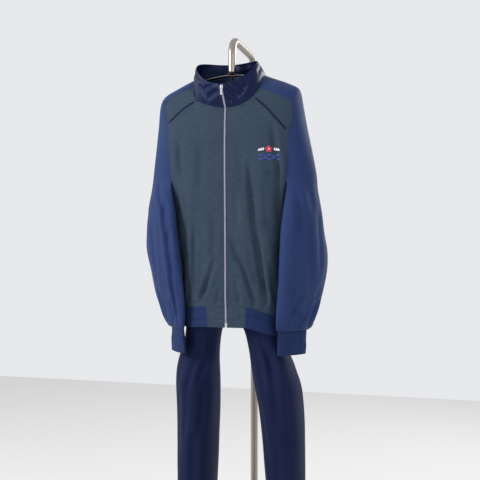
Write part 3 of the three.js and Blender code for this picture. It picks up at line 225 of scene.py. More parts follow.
# %% [markdown]
# A Subdivision Surface rounds the coarse faces of a skin into smooth cloth. The result is kept as a plain
# mesh, because the creases are pressed into its own points afterwards.


# %% Smooth skins
def finish_modifiers(thing):
    """Keep what the modifiers make as the thing's own mesh."""
    depsgraph = bpy.context.evaluated_depsgraph_get()
    finished = bpy.data.meshes.new_from_object(thing.evaluated_get(depsgraph), depsgraph=depsgraph)
    thing.modifiers.clear()
    old = thing.data
    thing.data = finished
    bpy.data.meshes.remove(old)


def smooth_skin(node, wall, levels):
    bm = outer_skin(node, wall)
    mesh = bpy.data.meshes.new(f"{node}_cloth")
    bm.to_mesh(mesh)
    bm.free()
    thing = link_object(f"{node}_cloth", mesh)
    subdivision = thing.modifiers.new("round", "SUBSURF")
    subdivision.levels = subdivision.render_levels = levels
    subdivision.boundary_smooth = "PRESERVE_CORNERS"
    finish_modifiers(thing)
    return thing

# %% [markdown]
# Creases are listed one by one, each as a line on the cloth with a depth and a width. A crease is a soft
# trough with a low ridge on each side, because the cloth that sinks in has to come from somewhere. The same
# function serves every piece: it gets the distance across the cloth and the height of each point, and tells
# how far to push it.


# %% Creases
def read_points(mesh):
    places = np.empty(len(mesh.vertices) * 3)
    mesh.vertices.foreach_get("co", places)
    return places.reshape(-1, 3)


def read_normals(mesh):
    normals = np.empty(len(mesh.vertices) * 3)
    mesh.vertices.foreach_get("normal", normals)
    return normals.reshape(-1, 3)


def write_points(mesh, places):
    mesh.vertices.foreach_set("co", places.ravel())
    mesh.update()


FOLD_GAIN = 1.5  # brings out all creases alike
OVERRUN = 0.08  # how far a crease runs on past its ends, as a share of its length
END_FADE = 0.35  # the share of its length over which it fades out
RIDGE_AWAY = 1.9  # the ridges beside a trough, in widths from its middle
RIDGE_SHARE = 0.3  # their height, as a share of its depth


def eased(share):
    """A share between 0 and 1 that starts and ends softly."""
    share = np.clip(share, 0, 1)
    return share * share * (3 - 2 * share)


def crease_heights(across, height, creases):
    """Each crease is (across 1, height 1, across 2, height 2, depth, width), in millimetres."""
    total = np.zeros_like(across)
    for a1, h1, a2, h2, depth, width in creases:
        start = np.array((a1, h1))
        line = np.array((a2, h2)) - start
        length = np.hypot(*line)
        along = ((across - start[0]) * line[0] + (height - start[1]) * line[1]) / length**2
        aside = ((across - start[0]) * line[1] - (height - start[1]) * line[0]) / length / width
        fade = eased(np.minimum(along + OVERRUN, 1 + OVERRUN - along) / END_FADE)
        trough = np.exp(-(aside**2)) - RIDGE_SHARE * np.exp(-((np.abs(aside) - RIDGE_AWAY) ** 2))
        total -= FOLD_GAIN * depth * fade * trough
    return total


RIPPLE_SIZE = 45 * MM
RIPPLE_STRETCH = 2.5
RIPPLE_DEPTH = 1.1


def ripple(places, seed):
    """A faint, uneven swell over the cloth, longer down than across."""
    offset = Vector((seed * 3.7, seed * 1.9, seed * 5.3))
    swell = []
    for x, y, z in places:
        spot = Vector((x / RIPPLE_SIZE, y / RIPPLE_SIZE, z / RIPPLE_SIZE / RIPPLE_STRETCH))
        swell.append(noise.noise(spot + offset))
    return np.array(swell) * RIPPLE_DEPTH


def gathers(seed, first, last, edge, tall, count, depth):
    """Short uneven creases that rise or hang from a seam."""
    dice = random.Random(seed)
    rows = []
    for i in range(count):
        at = first + (last - first) * (i + dice.uniform(0.2, 0.8)) / count
        reach = tall * dice.uniform(0.45, 1.25)
        lean = dice.uniform(-0.14, 0.14) * reach
        rows.append((at, edge, at + lean, edge + reach, depth * dice.uniform(0.4, 1.2), dice.uniform(4, 7)))
    return rows

# %% [markdown]
# The fronts hang from the shoulder bar, so their folds fall from the neck and the armholes and lean
# towards the zip or the side. The left front is looser than the right one. The back and the parts that
# the camera doesn't see get folds of the same kind, in other places.

# %% Folds of the body
FRONT_FOLDS = {
    "left": [
        (127, 1372, 146, 1215, 3.0, 8),
        (144, 1290, 137, 1120, 3.0, 6),
        (64, 1274, 80, 1075, 3.6, 7),
        (79, 1100, 109, 888, 4.4, 7),
        (13, 1066, 44, 990, 2.8, 7),
        (38, 1020, 83, 884, 4.0, 6),
        (96, 960, 116, 892, 2.4, 5),
        (122, 1000, 130, 888, 2.4, 7),
        (40, 1330, 52, 1180, 1.6, 12),
        (104, 1240, 116, 1060, 1.8, 9),
        (30, 1210, 34, 1090, 1.2, 10),
        (150, 1090, 140, 940, 2.2, 8),
        (26, 960, 40, 890, 1.6, 7),
    ],
    "right": [
        (89, 1107, 93, 905, 3.2, 7),
        (28, 1010, 66, 905, 3.2, 7),
        (46, 968, 76, 886, 3.0, 6),
        (136, 1339, 128, 1225, 2.4, 8),
        (107, 960, 112, 886, 2.6, 8),
        (60, 1330, 72, 1190, 1.4, 12),
        (28, 1130, 34, 1010, 1.2, 9),
        (148, 1250, 146, 1090, 2.0, 9),
        (110, 1190, 116, 1050, 1.6, 9),
        (18, 930, 24, 886, 1.4, 6),
        (136, 1020, 130, 900, 2.2, 8),
    ],
}
BACK_FOLDS = [
    (60, 1440, 78, 1220, 2.4, 11),
    (74, 1210, 96, 930, 3.0, 10),
    (150, 1330, 142, 1120, 2.6, 9),
    (118, 1120, 132, 890, 2.8, 9),
    (34, 1180, 46, 960, 2.0, 10),
    (-40, 1430, -62, 1240, 2.2, 11),
    (-58, 1200, -74, 940, 2.8, 10),
    (-148, 1340, -140, 1150, 2.6, 9),
    (-110, 1100, -124, 890, 2.6, 9),
    (-14, 1120, -20, 930, 1.8, 9),
    (8, 1470, 10, 1330, 1.2, 12),
]
BAND_TOP = 881
HEM_FOLDS = [
    (-116, 841, -48, 846, 1.6, 4),
    (-54, 846, 10, 845, 1.2, 4),
    (-10, 845, 58, 847, 1.2, 4),
    (52, 860, 130, 838, 2.0, 5),
    (70, 876, 128, 852, 1.6, 5),
]


ZIP_CALM, ZIP_FADE = 5, 14  # creases start this far from the zip, and are full this much farther on


def fold_front(places, side, name):
    across = places[:, 0] * side / MM
    height = places[:, 2] / MM
    over_hem = gathers(11 + side, first=14, last=150, edge=BAND_TOP, tall=26, count=13, depth=1.2)
    near_zip = np.clip((across - ZIP_CALM) / ZIP_FADE, 0, 1)
    return crease_heights(across, height, FRONT_FOLDS[name] + over_hem) * near_zip


def fold_hem(places, normals):
    """The band is pulled in where it passes from the front to the sides, and creases there."""
    across = places[:, 0] / MM
    height = places[:, 2] / MM
    puckers = gathers(71, first=-150, last=150, edge=BAND_TOP - 6, tall=-34, count=16, depth=0.7)
    in_front = normals[:, 1] < 0
    return crease_heights(across, height, HEM_FOLDS) * in_front + crease_heights(across, height, puckers)


def fold_back(places):
    across = places[:, 0] / MM
    height = places[:, 2] / MM
    over_hem = gathers(31, first=-150, last=150, edge=BAND_TOP, tall=28, count=22, depth=1.2)
    return crease_heights(across, height, BACK_FOLDS + over_hem)


print("creases of the body:", sum(len(rows) for rows in (*FRONT_FOLDS.values(), BACK_FOLDS, HEM_FOLDS)))

# %% [markdown]
# A sleeve hangs as a flat tube that is turned by about 57 degrees, so its folds are measured along that
# flat direction. They crowd above the cuff, where the wide sleeve is gathered in, and in the crook of the
# elbow.

# %% Folds of the sleeves
SLEEVE_TURN = math.radians(57)
SLEEVE_MIDDLE = (196.0, -5.0)
SLEEVE_FOLDS = {
    "left": [
        (-42, 1190, -50, 1060, 2.8, 8),
        (-20, 1120, -10, 950, 2.6, 9),
        (-24, 925, -56, 850, 3.6, 7),
        (0, 870, -28, 812, 3.2, 5),
        (52, 905, 10, 836, 3.0, 7),
        (24, 1150, 30, 960, 2.4, 10),
        (-66, 960, -46, 860, 2.4, 7),
        (-30, 880, -22, 826, 2.6, 6),
        (34, 930, 22, 830, 2.6, 8),
        (-10, 1230, 0, 1130, 1.8, 9),
    ],
    "right": [
        (-12, 1240, -68, 1140, 2.8, 6),
        (-60, 1165, -84, 1060, 4.2, 5),
        (-82, 1090, -86, 960, 4.8, 5),
        (-85, 990, -75, 826, 5.0, 5),
        (-66, 900, -66, 830, 3.0, 5),
        (-30, 1120, -24, 940, 2.4, 9),
        (-16, 930, -12, 826, 2.8, 7),
        (22, 1150, 28, 960, 2.4, 10),
        (-34, 900, -30, 828, 2.4, 6),
        (30, 940, 20, 830, 2.6, 8),
        (0, 1230, 4, 1120, 1.6, 9),
    ],
}


SLEEVE_CALM, SLEEVE_FADE = 1300, 120  # creases end at this height, and are full this much lower
INNER_SHARE = 0.8  # creases on the inner side lie closer together


def sleeve_places(places, side):
    x = places[:, 0] * side / MM - SLEEVE_MIDDLE[0]
    y = places[:, 1] / MM - SLEEVE_MIDDLE[1]
    return x * math.cos(SLEEVE_TURN) + y * math.sin(SLEEVE_TURN)


def fold_cuff(places, side):
    across = sleeve_places(places, side)
    puckers = gathers(90 + side, first=-62, last=30, edge=812, tall=-44, count=7, depth=0.9)
    return crease_heights(across, places[:, 2] / MM, puckers)


def fold_sleeve(places, normals, side, name):
    """The outer and the inner side of the flat tube crease in places of their own."""
    across = sleeve_places(places, side)
    height = places[:, 2] / MM
    facing = normals[:, 0] * side * math.sin(SLEEVE_TURN) - normals[:, 1] * math.cos(SLEEVE_TURN)
    share = np.clip(facing * 2.5 + 0.5, 0, 1)
    over_cuff = gathers(50 + side, first=-58, last=58, edge=818, tall=34, count=10, depth=1.6)
    outer = SLEEVE_FOLDS[name] + over_cuff
    inner = []
    for a1, h1, a2, h2, depth, width in SLEEVE_FOLDS[name]:
        inner.append((a1 * INNER_SHARE + 6, h1, a2 * INNER_SHARE + 2, h2, depth, width))
    below = np.clip((SLEEVE_CALM - height) / SLEEVE_FADE, 0, 1)
    outside = crease_heights(across, height, outer) * share
    inside = crease_heights(across, height, inner) * (1 - share)
    return (outside + inside) * below


print("creases of the sleeves:", sum(len(rows) for rows in SLEEVE_FOLDS.values()))

# %% [markdown]
# The trousers hang from two clips. Their creases run down the legs and break softly at the knee, and some
# pull diagonally from the crotch.

# %% Folds of the trousers
LEG_FOLDS = {
    "left": [
        (48, 840, 118, 640, 3.4, 9),
        (70, 830, 128, 700, 2.4, 8),
        (112, 790, 150, 560, 3.2, 10),
        (88, 650, 122, 420, 3.0, 10),
        (160, 690, 176, 480, 2.6, 9),
        (140, 520, 150, 330, 2.4, 11),
        (118, 380, 128, 200, 2.2, 10),
        (170, 360, 172, 180, 2.0, 10),
        (60, 760, 86, 640, 2.2, 7),
    ],
    "right": [
        (46, 840, 84, 650, 3.0, 9),
        (70, 820, 110, 640, 2.6, 9),
        (60, 690, 74, 520, 2.8, 8),
        (104, 720, 118, 500, 3.0, 10),
        (86, 560, 92, 380, 2.4, 10),
        (134, 660, 138, 470, 2.4, 9),
        (76, 380, 86, 200, 2.2, 10),
        (126, 400, 128, 220, 2.0, 10),
    ],
}


LEG_CALM, LEG_FADE = 830, 40  # creases end at this height, and are full this much lower


def fold_leg(places, side, name, back):
    across = places[:, 0] * side / MM
    height = places[:, 2] / MM
    creases = LEG_FOLDS[name]
    if back:
        creases = [(a + 10, b + 25, c + 6, d + 30, e * 0.9, f) for a, b, c, d, e, f in creases]
    below = np.clip((LEG_CALM - height) / LEG_FADE, 0, 1)
    return crease_heights(across, height, creases) * below


print("creases of the trousers:", sum(len(rows) for rows in LEG_FOLDS.values()))

# %% [markdown]
# The collar is a soft satin knit that stands without stiffening, so it buckles: slanting creases run up
# from the neck seam on both sides of the zip, and longer ones round the back.

# %% Folds of the collar
COLLAR_MIDDLE = (-8, -27)
COLLAR_FOLDS = [
    (8, 1476, 54, 1440, 2.6, 7),
    (24, 1486, 74, 1462, 2.2, 6),
    (4, 1448, 30, 1430, 1.6, 6),
    (52, 1446, 84, 1480, 2.0, 7),
    (-10, 1462, -50, 1440, 2.4, 7),
    (-22, 1480, -62, 1466, 2.2, 6),
    (-46, 1448, -84, 1484, 2.0, 7),
    (-60, 1500, -110, 1516, 1.8, 7),
    (70, 1506, 118, 1520, 1.8, 7),
    (130, 1510, 170, 1540, 1.8, 8),
    (-126, 1506, -160, 1540, 1.8, 8),
]


def fold_collar(places):
    x = places[:, 0] / MM - COLLAR_MIDDLE[0]
    y = places[:, 1] / MM - COLLAR_MIDDLE[1]
    across = np.arctan2(x, -y) * np.hypot(x, y)
    return crease_heights(across, places[:, 2] / MM, COLLAR_FOLDS)


print("creases of the collar:", len(COLLAR_FOLDS))

# %% [markdown]
# These are the pieces that a maker cuts. The table gives the finish of each, its thickness, and how many
# times each of its faces is split in four to round it.

# %% Cut pieces
CLOTH = {
    "front_left": ("slate", WALL, 3),
    "front_right": ("slate", WALL, 3),
    "yoke_left": ("slate", WALL, 3),
    "yoke_right": ("slate", WALL, 3),
    "back": ("slate", WALL, 2),
    "hem_front_left": ("slate", RIB_WALL, 3),
    "hem_front_right": ("slate", RIB_WALL, 3),
    "sleeve_left": ("blue", WALL, 3),
    "sleeve_right": ("blue", WALL, 3),
    "cuff_left": ("navy", RIB_WALL, 3),
    "cuff_right": ("navy", RIB_WALL, 3),
    "hem_band": ("navy", RIB_WALL, 3),
    "collar": ("collar", RIB_WALL, 3),
    "leg_front_left": ("trouser", WALL, 3),
    "leg_front_right": ("trouser", WALL, 3),
    "leg_back_left": ("trouser", WALL, 2),
    "leg_back_right": ("trouser", WALL, 2),
    "waistband": ("trouser", RIB_WALL, 2),
}
print("pieces of cloth:", len(CLOTH))

# %% [markdown]
# Every piece gets a faint swell, and all but the yokes and the waistband get creases of their own; on those
# three the swell is halved. Both fade out towards the piece's own edges, because sewn edges have to stay
# together.

# %% Creases of each piece
EDGE_REACH = 9 * MM


def piece_lift(node, places, normals):
    side = LEFT if node.endswith("left") else RIGHT
    name = "left" if side == LEFT else "right"
    lift = ripple(places, len(node))
    if node.startswith("front"):
        lift += fold_front(places, side, name)
    elif node == "back":
        lift += fold_back(places)
    elif node.startswith("sleeve"):
        lift += fold_sleeve(places, normals, side, name)
    elif node.startswith("leg"):
        lift += fold_leg(places, side, name, "back" in node)
    elif node == "collar":
        lift += fold_collar(places)
    elif node.startswith("hem"):
        lift += fold_hem(places, normals)
    elif node.startswith("cuff"):
        lift += fold_cuff(places, side)
    else:
        lift *= 0.5
    return lift


def edge_fade(mesh, places):
    """Zero on the piece's own edges and one beyond the reach."""
    counts = np.zeros(len(mesh.edges), dtype=int)
    loop_edges = np.empty(len(mesh.loops), dtype=int)
    mesh.loops.foreach_get("edge_index", loop_edges)
    np.add.at(counts, loop_edges, 1)
    ends = np.empty(len(mesh.edges) * 2, dtype=int)
    mesh.edges.foreach_get("vertices", ends)
    rim = np.unique(ends.reshape(-1, 2)[counts == 1])
    tree = KDTree(len(rim))
    for i, v in enumerate(rim):
        tree.insert(places[v], i)
    tree.balance()
    away = np.array([tree.find(p)[2] for p in places])
    return eased(away / EDGE_REACH)

# %% [markdown]
# The skins are rounded and creased one by one. Rays are cast on them later, to lay stitches and the motif
# on the cloth, so a search tree of each is kept while it is still a single sheet.

# %% Lay the cloth
cloth = {}
for node, (_, wall, levels) in CLOTH.items():
    thing = smooth_skin(node, wall, levels)
    places = read_points(thing.data)
    normals = read_normals(thing.data)
    lift = piece_lift(node, places, normals) * edge_fade(thing.data, places)
    write_points(thing.data, places + normals * (lift * MM)[:, None])
    cloth[node] = thing
print("cloth pieces:", len(cloth), "with", sum(len(t.data.polygons) for t in cloth.values()), "faces")
depsgraph = bpy.context.evaluated_depsgraph_get()
skins = {node: BVHTree.FromObject(thing, depsgraph) for node, thing in cloth.items()}

# %% [markdown]
# Seams follow the edges of the pieces, so the rows of points round those edges are kept too. Then
# Solidify gives each skin its thickness. The knit gets a map of its own, across the cloth and down it in
# metres, so that its rows of loops follow the fabric round a sleeve.


# %% Edges, thickness and the map of the knit
def knit_map(mesh, node):
    """The map that the knit follows, in metres."""
    places = read_points(mesh)
    if node.startswith("sleeve") or node.startswith("cuff"):
        side = LEFT if node.endswith("left") else RIGHT
        across = sleeve_places(places, side) * MM
    else:
        across = places[:, 0]
    loops = np.empty(len(mesh.loops), dtype=int)
    mesh.loops.foreach_get("vertex_index", loops)
    values = np.stack((across[loops], places[loops, 2]), axis=1)
    layer = mesh.uv_layers.new(name="knit")
    layer.data.foreach_set("uv", values.ravel())


def rim_loops(mesh):
    """The rows of points round the piece's own edges."""
    uses = {}
    for polygon in mesh.polygons:
        for key in polygon.edge_keys:
            uses[key] = uses.get(key, 0) + 1
    links = {}
    for (a, b), count in uses.items():
        if count == 1:
            links.setdefault(a, []).append(b)
            links.setdefault(b, []).append(a)
    loops, left = [], set(links)
    while left:
        loop = [left.pop()]
        while onward := [v for v in links[loop[-1]] if v in left]:
            loop.append(onward[0])
            left.remove(onward[0])
        loops.append([mesh.vertices[v].co.copy() for v in loop])
    return loops


rims = {node: rim_loops(thing.data) for node, thing in cloth.items()}
for node, (finish, wall, _) in CLOTH.items():
    thing = cloth[node]
    shell = thing.modifiers.new("thickness", "SOLIDIFY")
    shell.thickness = wall
    shell.offset = -1
    finish_modifiers(thing)
    knit_map(thing.data, node)
    thing.data.shade_smooth()
    thing.data.set_sharp_from_angle(angle=SHARP_ABOVE)
    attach(thing, "root")
    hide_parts(node)
print("edges:", sum(len(loops) for loops in rims.values()))

# %% [markdown]
# Node trees are built in the script. Two small helpers keep that short: one adds a named socket to a
# tree's own inputs or outputs, and one adds a step of arithmetic and joins it up.


# %% Helpers for node trees
def socket(tree, name, kind, value=None, out=False):
    made = tree.interface.new_socket(name=name, in_out="OUTPUT" if out else "INPUT", socket_type=kind)
    if value is not None:
        made.default_value = value
    return made


def math_node(tree, operation, first, second=None):
    node = tree.nodes.new("ShaderNodeMath")
    node.operation = operation
    for slot_index, value in enumerate((first, second)):
        if value is None:
            continue
        if isinstance(value, (int, float)):
            node.inputs[slot_index].default_value = value
        else:
            tree.links.new(value, node.inputs[slot_index])
    return node.outputs[0]

# %% [markdown]
# All the cloths are knits that differ in colour, shine and heather. One node group makes the loops and
# the speckle. Its inputs set how many rows there are to the metre, and each material mixes its own two
# colours.


# %% Knit node group
def make_knit_group():
    tree = bpy.data.node_groups.new("knit", "ShaderNodeTree")
    socket(tree, "Wales", "NodeSocketFloat", 700.0)
    socket(tree, "Courses", "NodeSocketFloat", 900.0)
    socket(tree, "Speckle Size", "NodeSocketFloat", 260.0)
    socket(tree, "Speckle", "NodeSocketFloat", 0.5)
    socket(tree, "Mask", "NodeSocketFloat", out=True)
    socket(tree, "Height", "NodeSocketFloat", out=True)
    given = tree.nodes.new("NodeGroupInput").outputs
    result = tree.nodes.new("NodeGroupOutput").inputs
    uv = tree.nodes.new("ShaderNodeUVMap")
    uv.uv_map = "knit"
    split = tree.nodes.new("ShaderNodeSeparateXYZ")
    tree.links.new(uv.outputs[0], split.inputs[0])
    turn = 2 * math.pi
    wale = math_node(tree, "MULTIPLY", math_node(tree, "MULTIPLY", split.outputs[0], given["Wales"]), turn)
    wale = math_node(tree, "ABSOLUTE", math_node(tree, "SINE", wale))
    course = math_node(tree, "MULTIPLY", split.outputs[1], given["Courses"])
    course = math_node(tree, "SINE", math_node(tree, "MULTIPLY", course, turn))
    loops = math_node(tree, "ADD", wale, math_node(tree, "MULTIPLY", course, 0.3))
    place = tree.nodes.new("ShaderNodeTexCoord")
    stretch = tree.nodes.new("ShaderNodeMapping")
    stretch.inputs["Scale"].default_value = (0.22, 0.22, 1)
    tree.links.new(place.outputs["Object"], stretch.inputs["Vector"])
    speckle = tree.nodes.new("ShaderNodeTexNoise")
    speckle.inputs["Detail"].default_value = 4
    speckle.inputs["Roughness"].default_value = 0.7
    tree.links.new(stretch.outputs[0], speckle.inputs["Vector"])
    tree.links.new(given["Speckle Size"], speckle.inputs["Scale"])
    cloudy = tree.nodes.new("ShaderNodeTexNoise")
    cloudy.inputs["Scale"].default_value = 11
    cloudy.inputs["Detail"].default_value = 2
    tree.links.new(place.outputs["Object"], cloudy.inputs["Vector"])
    spot = math_node(tree, "SUBTRACT", speckle.outputs[0], 0.5)
    spot = math_node(tree, "MULTIPLY", spot, given["Speckle"])
    cloud = math_node(tree, "MULTIPLY", math_node(tree, "SUBTRACT", cloudy.outputs[0], 0.5), 0.5)
    mask = math_node(tree, "ADD", math_node(tree, "ADD", spot, cloud), 0.5)
    tree.links.new(mask, result["Mask"])
    tree.links.new(math_node(tree, "ADD", loops, math_node(tree, "MULTIPLY", spot, 1.5)), result["Height"])
    return tree


knit_group = make_knit_group()
print("knit group:", len(knit_group.nodes), "nodes")

# %% [markdown]
# A dark knit catches a bluish light along its fibres, so the specular and the sheen are tinted and kept
# low. With plain white ones the cloth looks washed out.

# %% Knit material
COURSES = 900.0
KNIT_TINT = (0.45, 0.58, 1.0, 1)


def knit_material(name, dark, light, rough, sheen, speckle, wales=700.0):
    material, shader = new_material(name, dark, rough)
    tree = material.node_tree
    knit = tree.nodes.new("ShaderNodeGroup")
    knit.node_tree = knit_group
    knit.inputs["Wales"].default_value = wales
    knit.inputs["Courses"].default_value = COURSES
    knit.inputs["Speckle"].default_value = speckle
    mix = tree.nodes.new("ShaderNodeMix")
    mix.data_type = "RGBA"
    mix.inputs["A"].default_value = (*dark, 1)
    mix.inputs["B"].default_value = (*light, 1)
    tree.links.new(knit.outputs["Mask"], mix.inputs["Factor"])
    tree.links.new(mix.outputs["Result"], shader.inputs["Base Color"])
    raised = tree.nodes.new("ShaderNodeBump")
    raised.inputs["Strength"].default_value = 0.35
    raised.inputs["Distance"].default_value = 0.0004
    tree.links.new(knit.outputs["Height"], raised.inputs["Height"])
    tree.links.new(raised.outputs[0], shader.inputs["Normal"])
    shader.inputs["Sheen Weight"].default_value = sheen
    shader.inputs["Sheen Roughness"].default_value = 0.45
    shader.inputs["Specular IOR Level"].default_value = 0.22
    shader.inputs["Specular Tint"].default_value = KNIT_TINT
    shader.inputs["Sheen Tint"].default_value = KNIT_TINT
    return material

# %% [markdown]
# Five cloths: the heathered slate of the body, the blue of the sleeves, the ribbed navy of cuffs and hem,
# the shiny collar and the very dark trousers. Each has a darker and a lighter colour, which the speckle
# mixes.

# %% Cloth colours
FINISHES = {
    "slate": knit_material("slate_knit", (0.019, 0.032, 0.050), (0.040, 0.058, 0.081), 0.85, 0.05, 1.6),
    "blue": knit_material("blue_knit", (0.011, 0.024, 0.083), (0.021, 0.038, 0.114), 0.62, 0.04, 0.7),
    "navy": knit_material("navy_knit", (0.007, 0.015, 0.056), (0.015, 0.027, 0.084), 0.75, 0.04, 0.6, 420.0),
    "collar": knit_material("collar_knit", (0.002, 0.004, 0.022), (0.005, 0.009, 0.040), 0.30, 0.0, 0.4),
    "trouser": knit_material("trouser_knit", (0.003, 0.005, 0.025), (0.006, 0.010, 0.040), 0.7, 0.02, 0.6),
}
for node, (finish, _, _) in CLOTH.items():
    cloth[node].data.materials.clear()
    cloth[node].data.materials.append(FINISHES[finish])
print("cloths:", list(FINISHES))

# %% [markdown]
# Stitches and zip teeth are the same thing many times over: a short rod at even steps along a line. One
# Geometry Nodes tree does both. Its inputs are the step, the rod's length and thickness, the way the rod
# lies, and its material.


# %% Rods along a line
def make_rod_tree():
    tree = bpy.data.node_groups.new("rods_along_line", "GeometryNodeTree")
    socket(tree, "Geometry", "NodeSocketGeometry")
    socket(tree, "Step", "NodeSocketFloat", 0.003)
    socket(tree, "Length", "NodeSocketFloat", 0.002)
    socket(tree, "Radius", "NodeSocketFloat", 0.0003)
    socket(tree, "Turn", "NodeSocketVector")
    socket(tree, "Material", "NodeSocketMaterial")
    socket(tree, "Geometry", "NodeSocketGeometry", out=True)
    given = tree.nodes.new("NodeGroupInput").outputs
    result = tree.nodes.new("NodeGroupOutput").inputs
    curve = tree.nodes.new("GeometryNodeMeshToCurve")
    points = tree.nodes.new("GeometryNodeCurveToPoints")
    points.mode = "LENGTH"
    rod = tree.nodes.new("GeometryNodeMeshCylinder")
    rod.inputs["Vertices"].default_value = 6
    laid = tree.nodes.new("GeometryNodeTransform")
    align = tree.nodes.new("FunctionNodeAlignRotationToVector")
    copies = tree.nodes.new("GeometryNodeInstanceOnPoints")
    real = tree.nodes.new("GeometryNodeRealizeInstances")
    paint = tree.nodes.new("GeometryNodeSetMaterial")
    for source, target in (
        (given["Geometry"], curve.inputs["Mesh"]),
        (curve.outputs["Curve"], points.inputs["Curve"]),
        (given["Step"], points.inputs["Length"]),
        (given["Radius"], rod.inputs["Radius"]),
        (given["Length"], rod.inputs["Depth"]),
        (rod.outputs["Mesh"], laid.inputs["Geometry"]),
        (given["Turn"], laid.inputs["Rotation"]),
        (points.outputs["Tangent"], align.inputs["Vector"]),
        (points.outputs["Points"], copies.inputs["Points"]),
        (laid.outputs["Geometry"], copies.inputs["Instance"]),
        (align.outputs["Rotation"], copies.inputs["Rotation"]),
        (copies.outputs["Instances"], real.inputs["Geometry"]),
        (real.outputs["Geometry"], paint.inputs["Geometry"]),
        (given["Material"], paint.inputs["Material"]),
        (paint.outputs["Geometry"], result["Geometry"]),
    ):
        tree.links.new(source, target)
    return tree


rod_tree = make_rod_tree()
print("rod tree:", len(rod_tree.nodes), "nodes")

# %% [markdown]
# The tree is put on a mesh of bare edges, and its inputs are set before Blender works it out. Then the
# rods are kept as a plain mesh.


# %% Lay rods on lines
def rods_along(name, lines, material, step, length, radius, turn=(0, 0, 0)):
    mesh = bpy.data.meshes.new(name)
    points, edges = [], []
    for line in lines:
        edges += [(len(points) + i, len(points) + i + 1) for i in range(len(line) - 1)]
        points += [tuple(p) for p in line]
    mesh.from_pydata(points, edges, [])
    thing = link_object(name, mesh)
    modifier = thing.modifiers.new("rods", "NODES")
    modifier.node_group = rod_tree
    values = {"Step": step, "Length": length, "Radius": radius, "Turn": turn, "Material": material}
    for item in rod_tree.interface.items_tree:
        if item.in_out == "INPUT" and item.name in values:
            modifier[item.identifier] = values[item.name]
    finish_modifiers(thing)
    thing.data.shade_smooth()
    thing.data.set_sharp_from_angle(angle=SHARP_ABOVE)
    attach(thing, "root")
    return thing

# %% [markdown]
# The zip's line is read from the frame: at each height, rays from the front find the middle of its chain.

# %% Zip line
CHAIN_HALF = 3.0 * MM
CHAIN_STEP = 2 * MM
CHAIN_SEARCH = np.arange(-14, 8, 0.25) * MM  # where the chain is looked for
BEHIND = Vector((0, 1, 0))
IN_FRONT = -0.3  # rays start this far in front of the cloth


def zip_line():
    chain = BVHTree.FromObject(nodes["zip_chain"], depsgraph)
    low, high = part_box("zip_chain")
    line = []
    for z in np.arange(low[2] + 1 * MM, high[2] - 1 * MM, CHAIN_STEP):
        hits = []
        for x in CHAIN_SEARCH:
            place = chain.ray_cast(Vector((x, IN_FRONT, z)), BEHIND)[0]
            if place:
                hits.append(place)
        if hits:
            line.append(hits[len(hits) // 2])
    return line


chain_line = zip_line()
print("zip line:", len(chain_line), "points, up to", round(chain_line[-1].z, 3), "m")

# %% [markdown]
# Where two pieces are sewn together, their edges run side by side. A row of topstitching follows that
# edge at a set distance inside the piece.

# %% Seam lines
SEWN = 2.6 * MM
THREAD_LIFT = 0.15 * MM
SHORTEST = 15 * MM  # shorter runs are corners and carry no stitches


def point_tree(points):
    tree = KDTree(len(points))
    for i, p in enumerate(points):
        tree.insert(p, i)
    tree.balance()
    return tree


rim_trees = {node: point_tree([p for loop in loops for p in loop]) for node, loops in rims.items()}
beside_chain = [Vector((side * CHAIN_HALF, 0, rise * MM)) for _, side in SIDES for rise in (0, 2)]
rim_trees["zip"] = point_tree([p + shift for p in chain_line for shift in beside_chain])


def moved_inside(node, run, inset):
    """The row of points, moved in over the piece's surface from its edge."""
    skin = skins[node]
    options = []
    for sign in (1, -1):
        line, miss = [], 0
        for i, p in enumerate(run):
            ahead = run[min(i + 2, len(run) - 1)] - run[max(i - 2, 0)]
            normal = skin.find_nearest(p)[1]
            place, up, _, _ = skin.find_nearest(p + sign * inset * ahead.cross(normal).normalized())
            miss += abs((place - p).length - inset)
            line.append(place + up * THREAD_LIFT)
        options.append((miss, line))
    return min(options, key=lambda option: option[0])[1]


def seam_lines(node, beside, insets):
    lines = []
    for loop in rims[node]:
        near = [rim_trees[beside].find(p)[2] < SEWN for p in loop]
        start = 0 if all(near) else near.index(False)
        run = []
        for i in range(start, start + len(loop) + 1):
            here = i % len(loop)
            if near[here] and i < start + len(loop):
                run.append(loop[here])
            elif run:
                long = sum((a - b).length for a, b in zip(run, run[1:]))
                if long > SHORTEST:
                    lines += [moved_inside(node, run, inset * MM) for inset in insets]
                run = []
    return lines

# %% [markdown]
# These are the seams that show a row of stitches: the piece that carries it, the piece or the zip that it
# runs beside, and how far in from the edge it lies, in millimetres. The neck has two rows. Slate cloth is
# sewn with slate thread and the rest with navy.

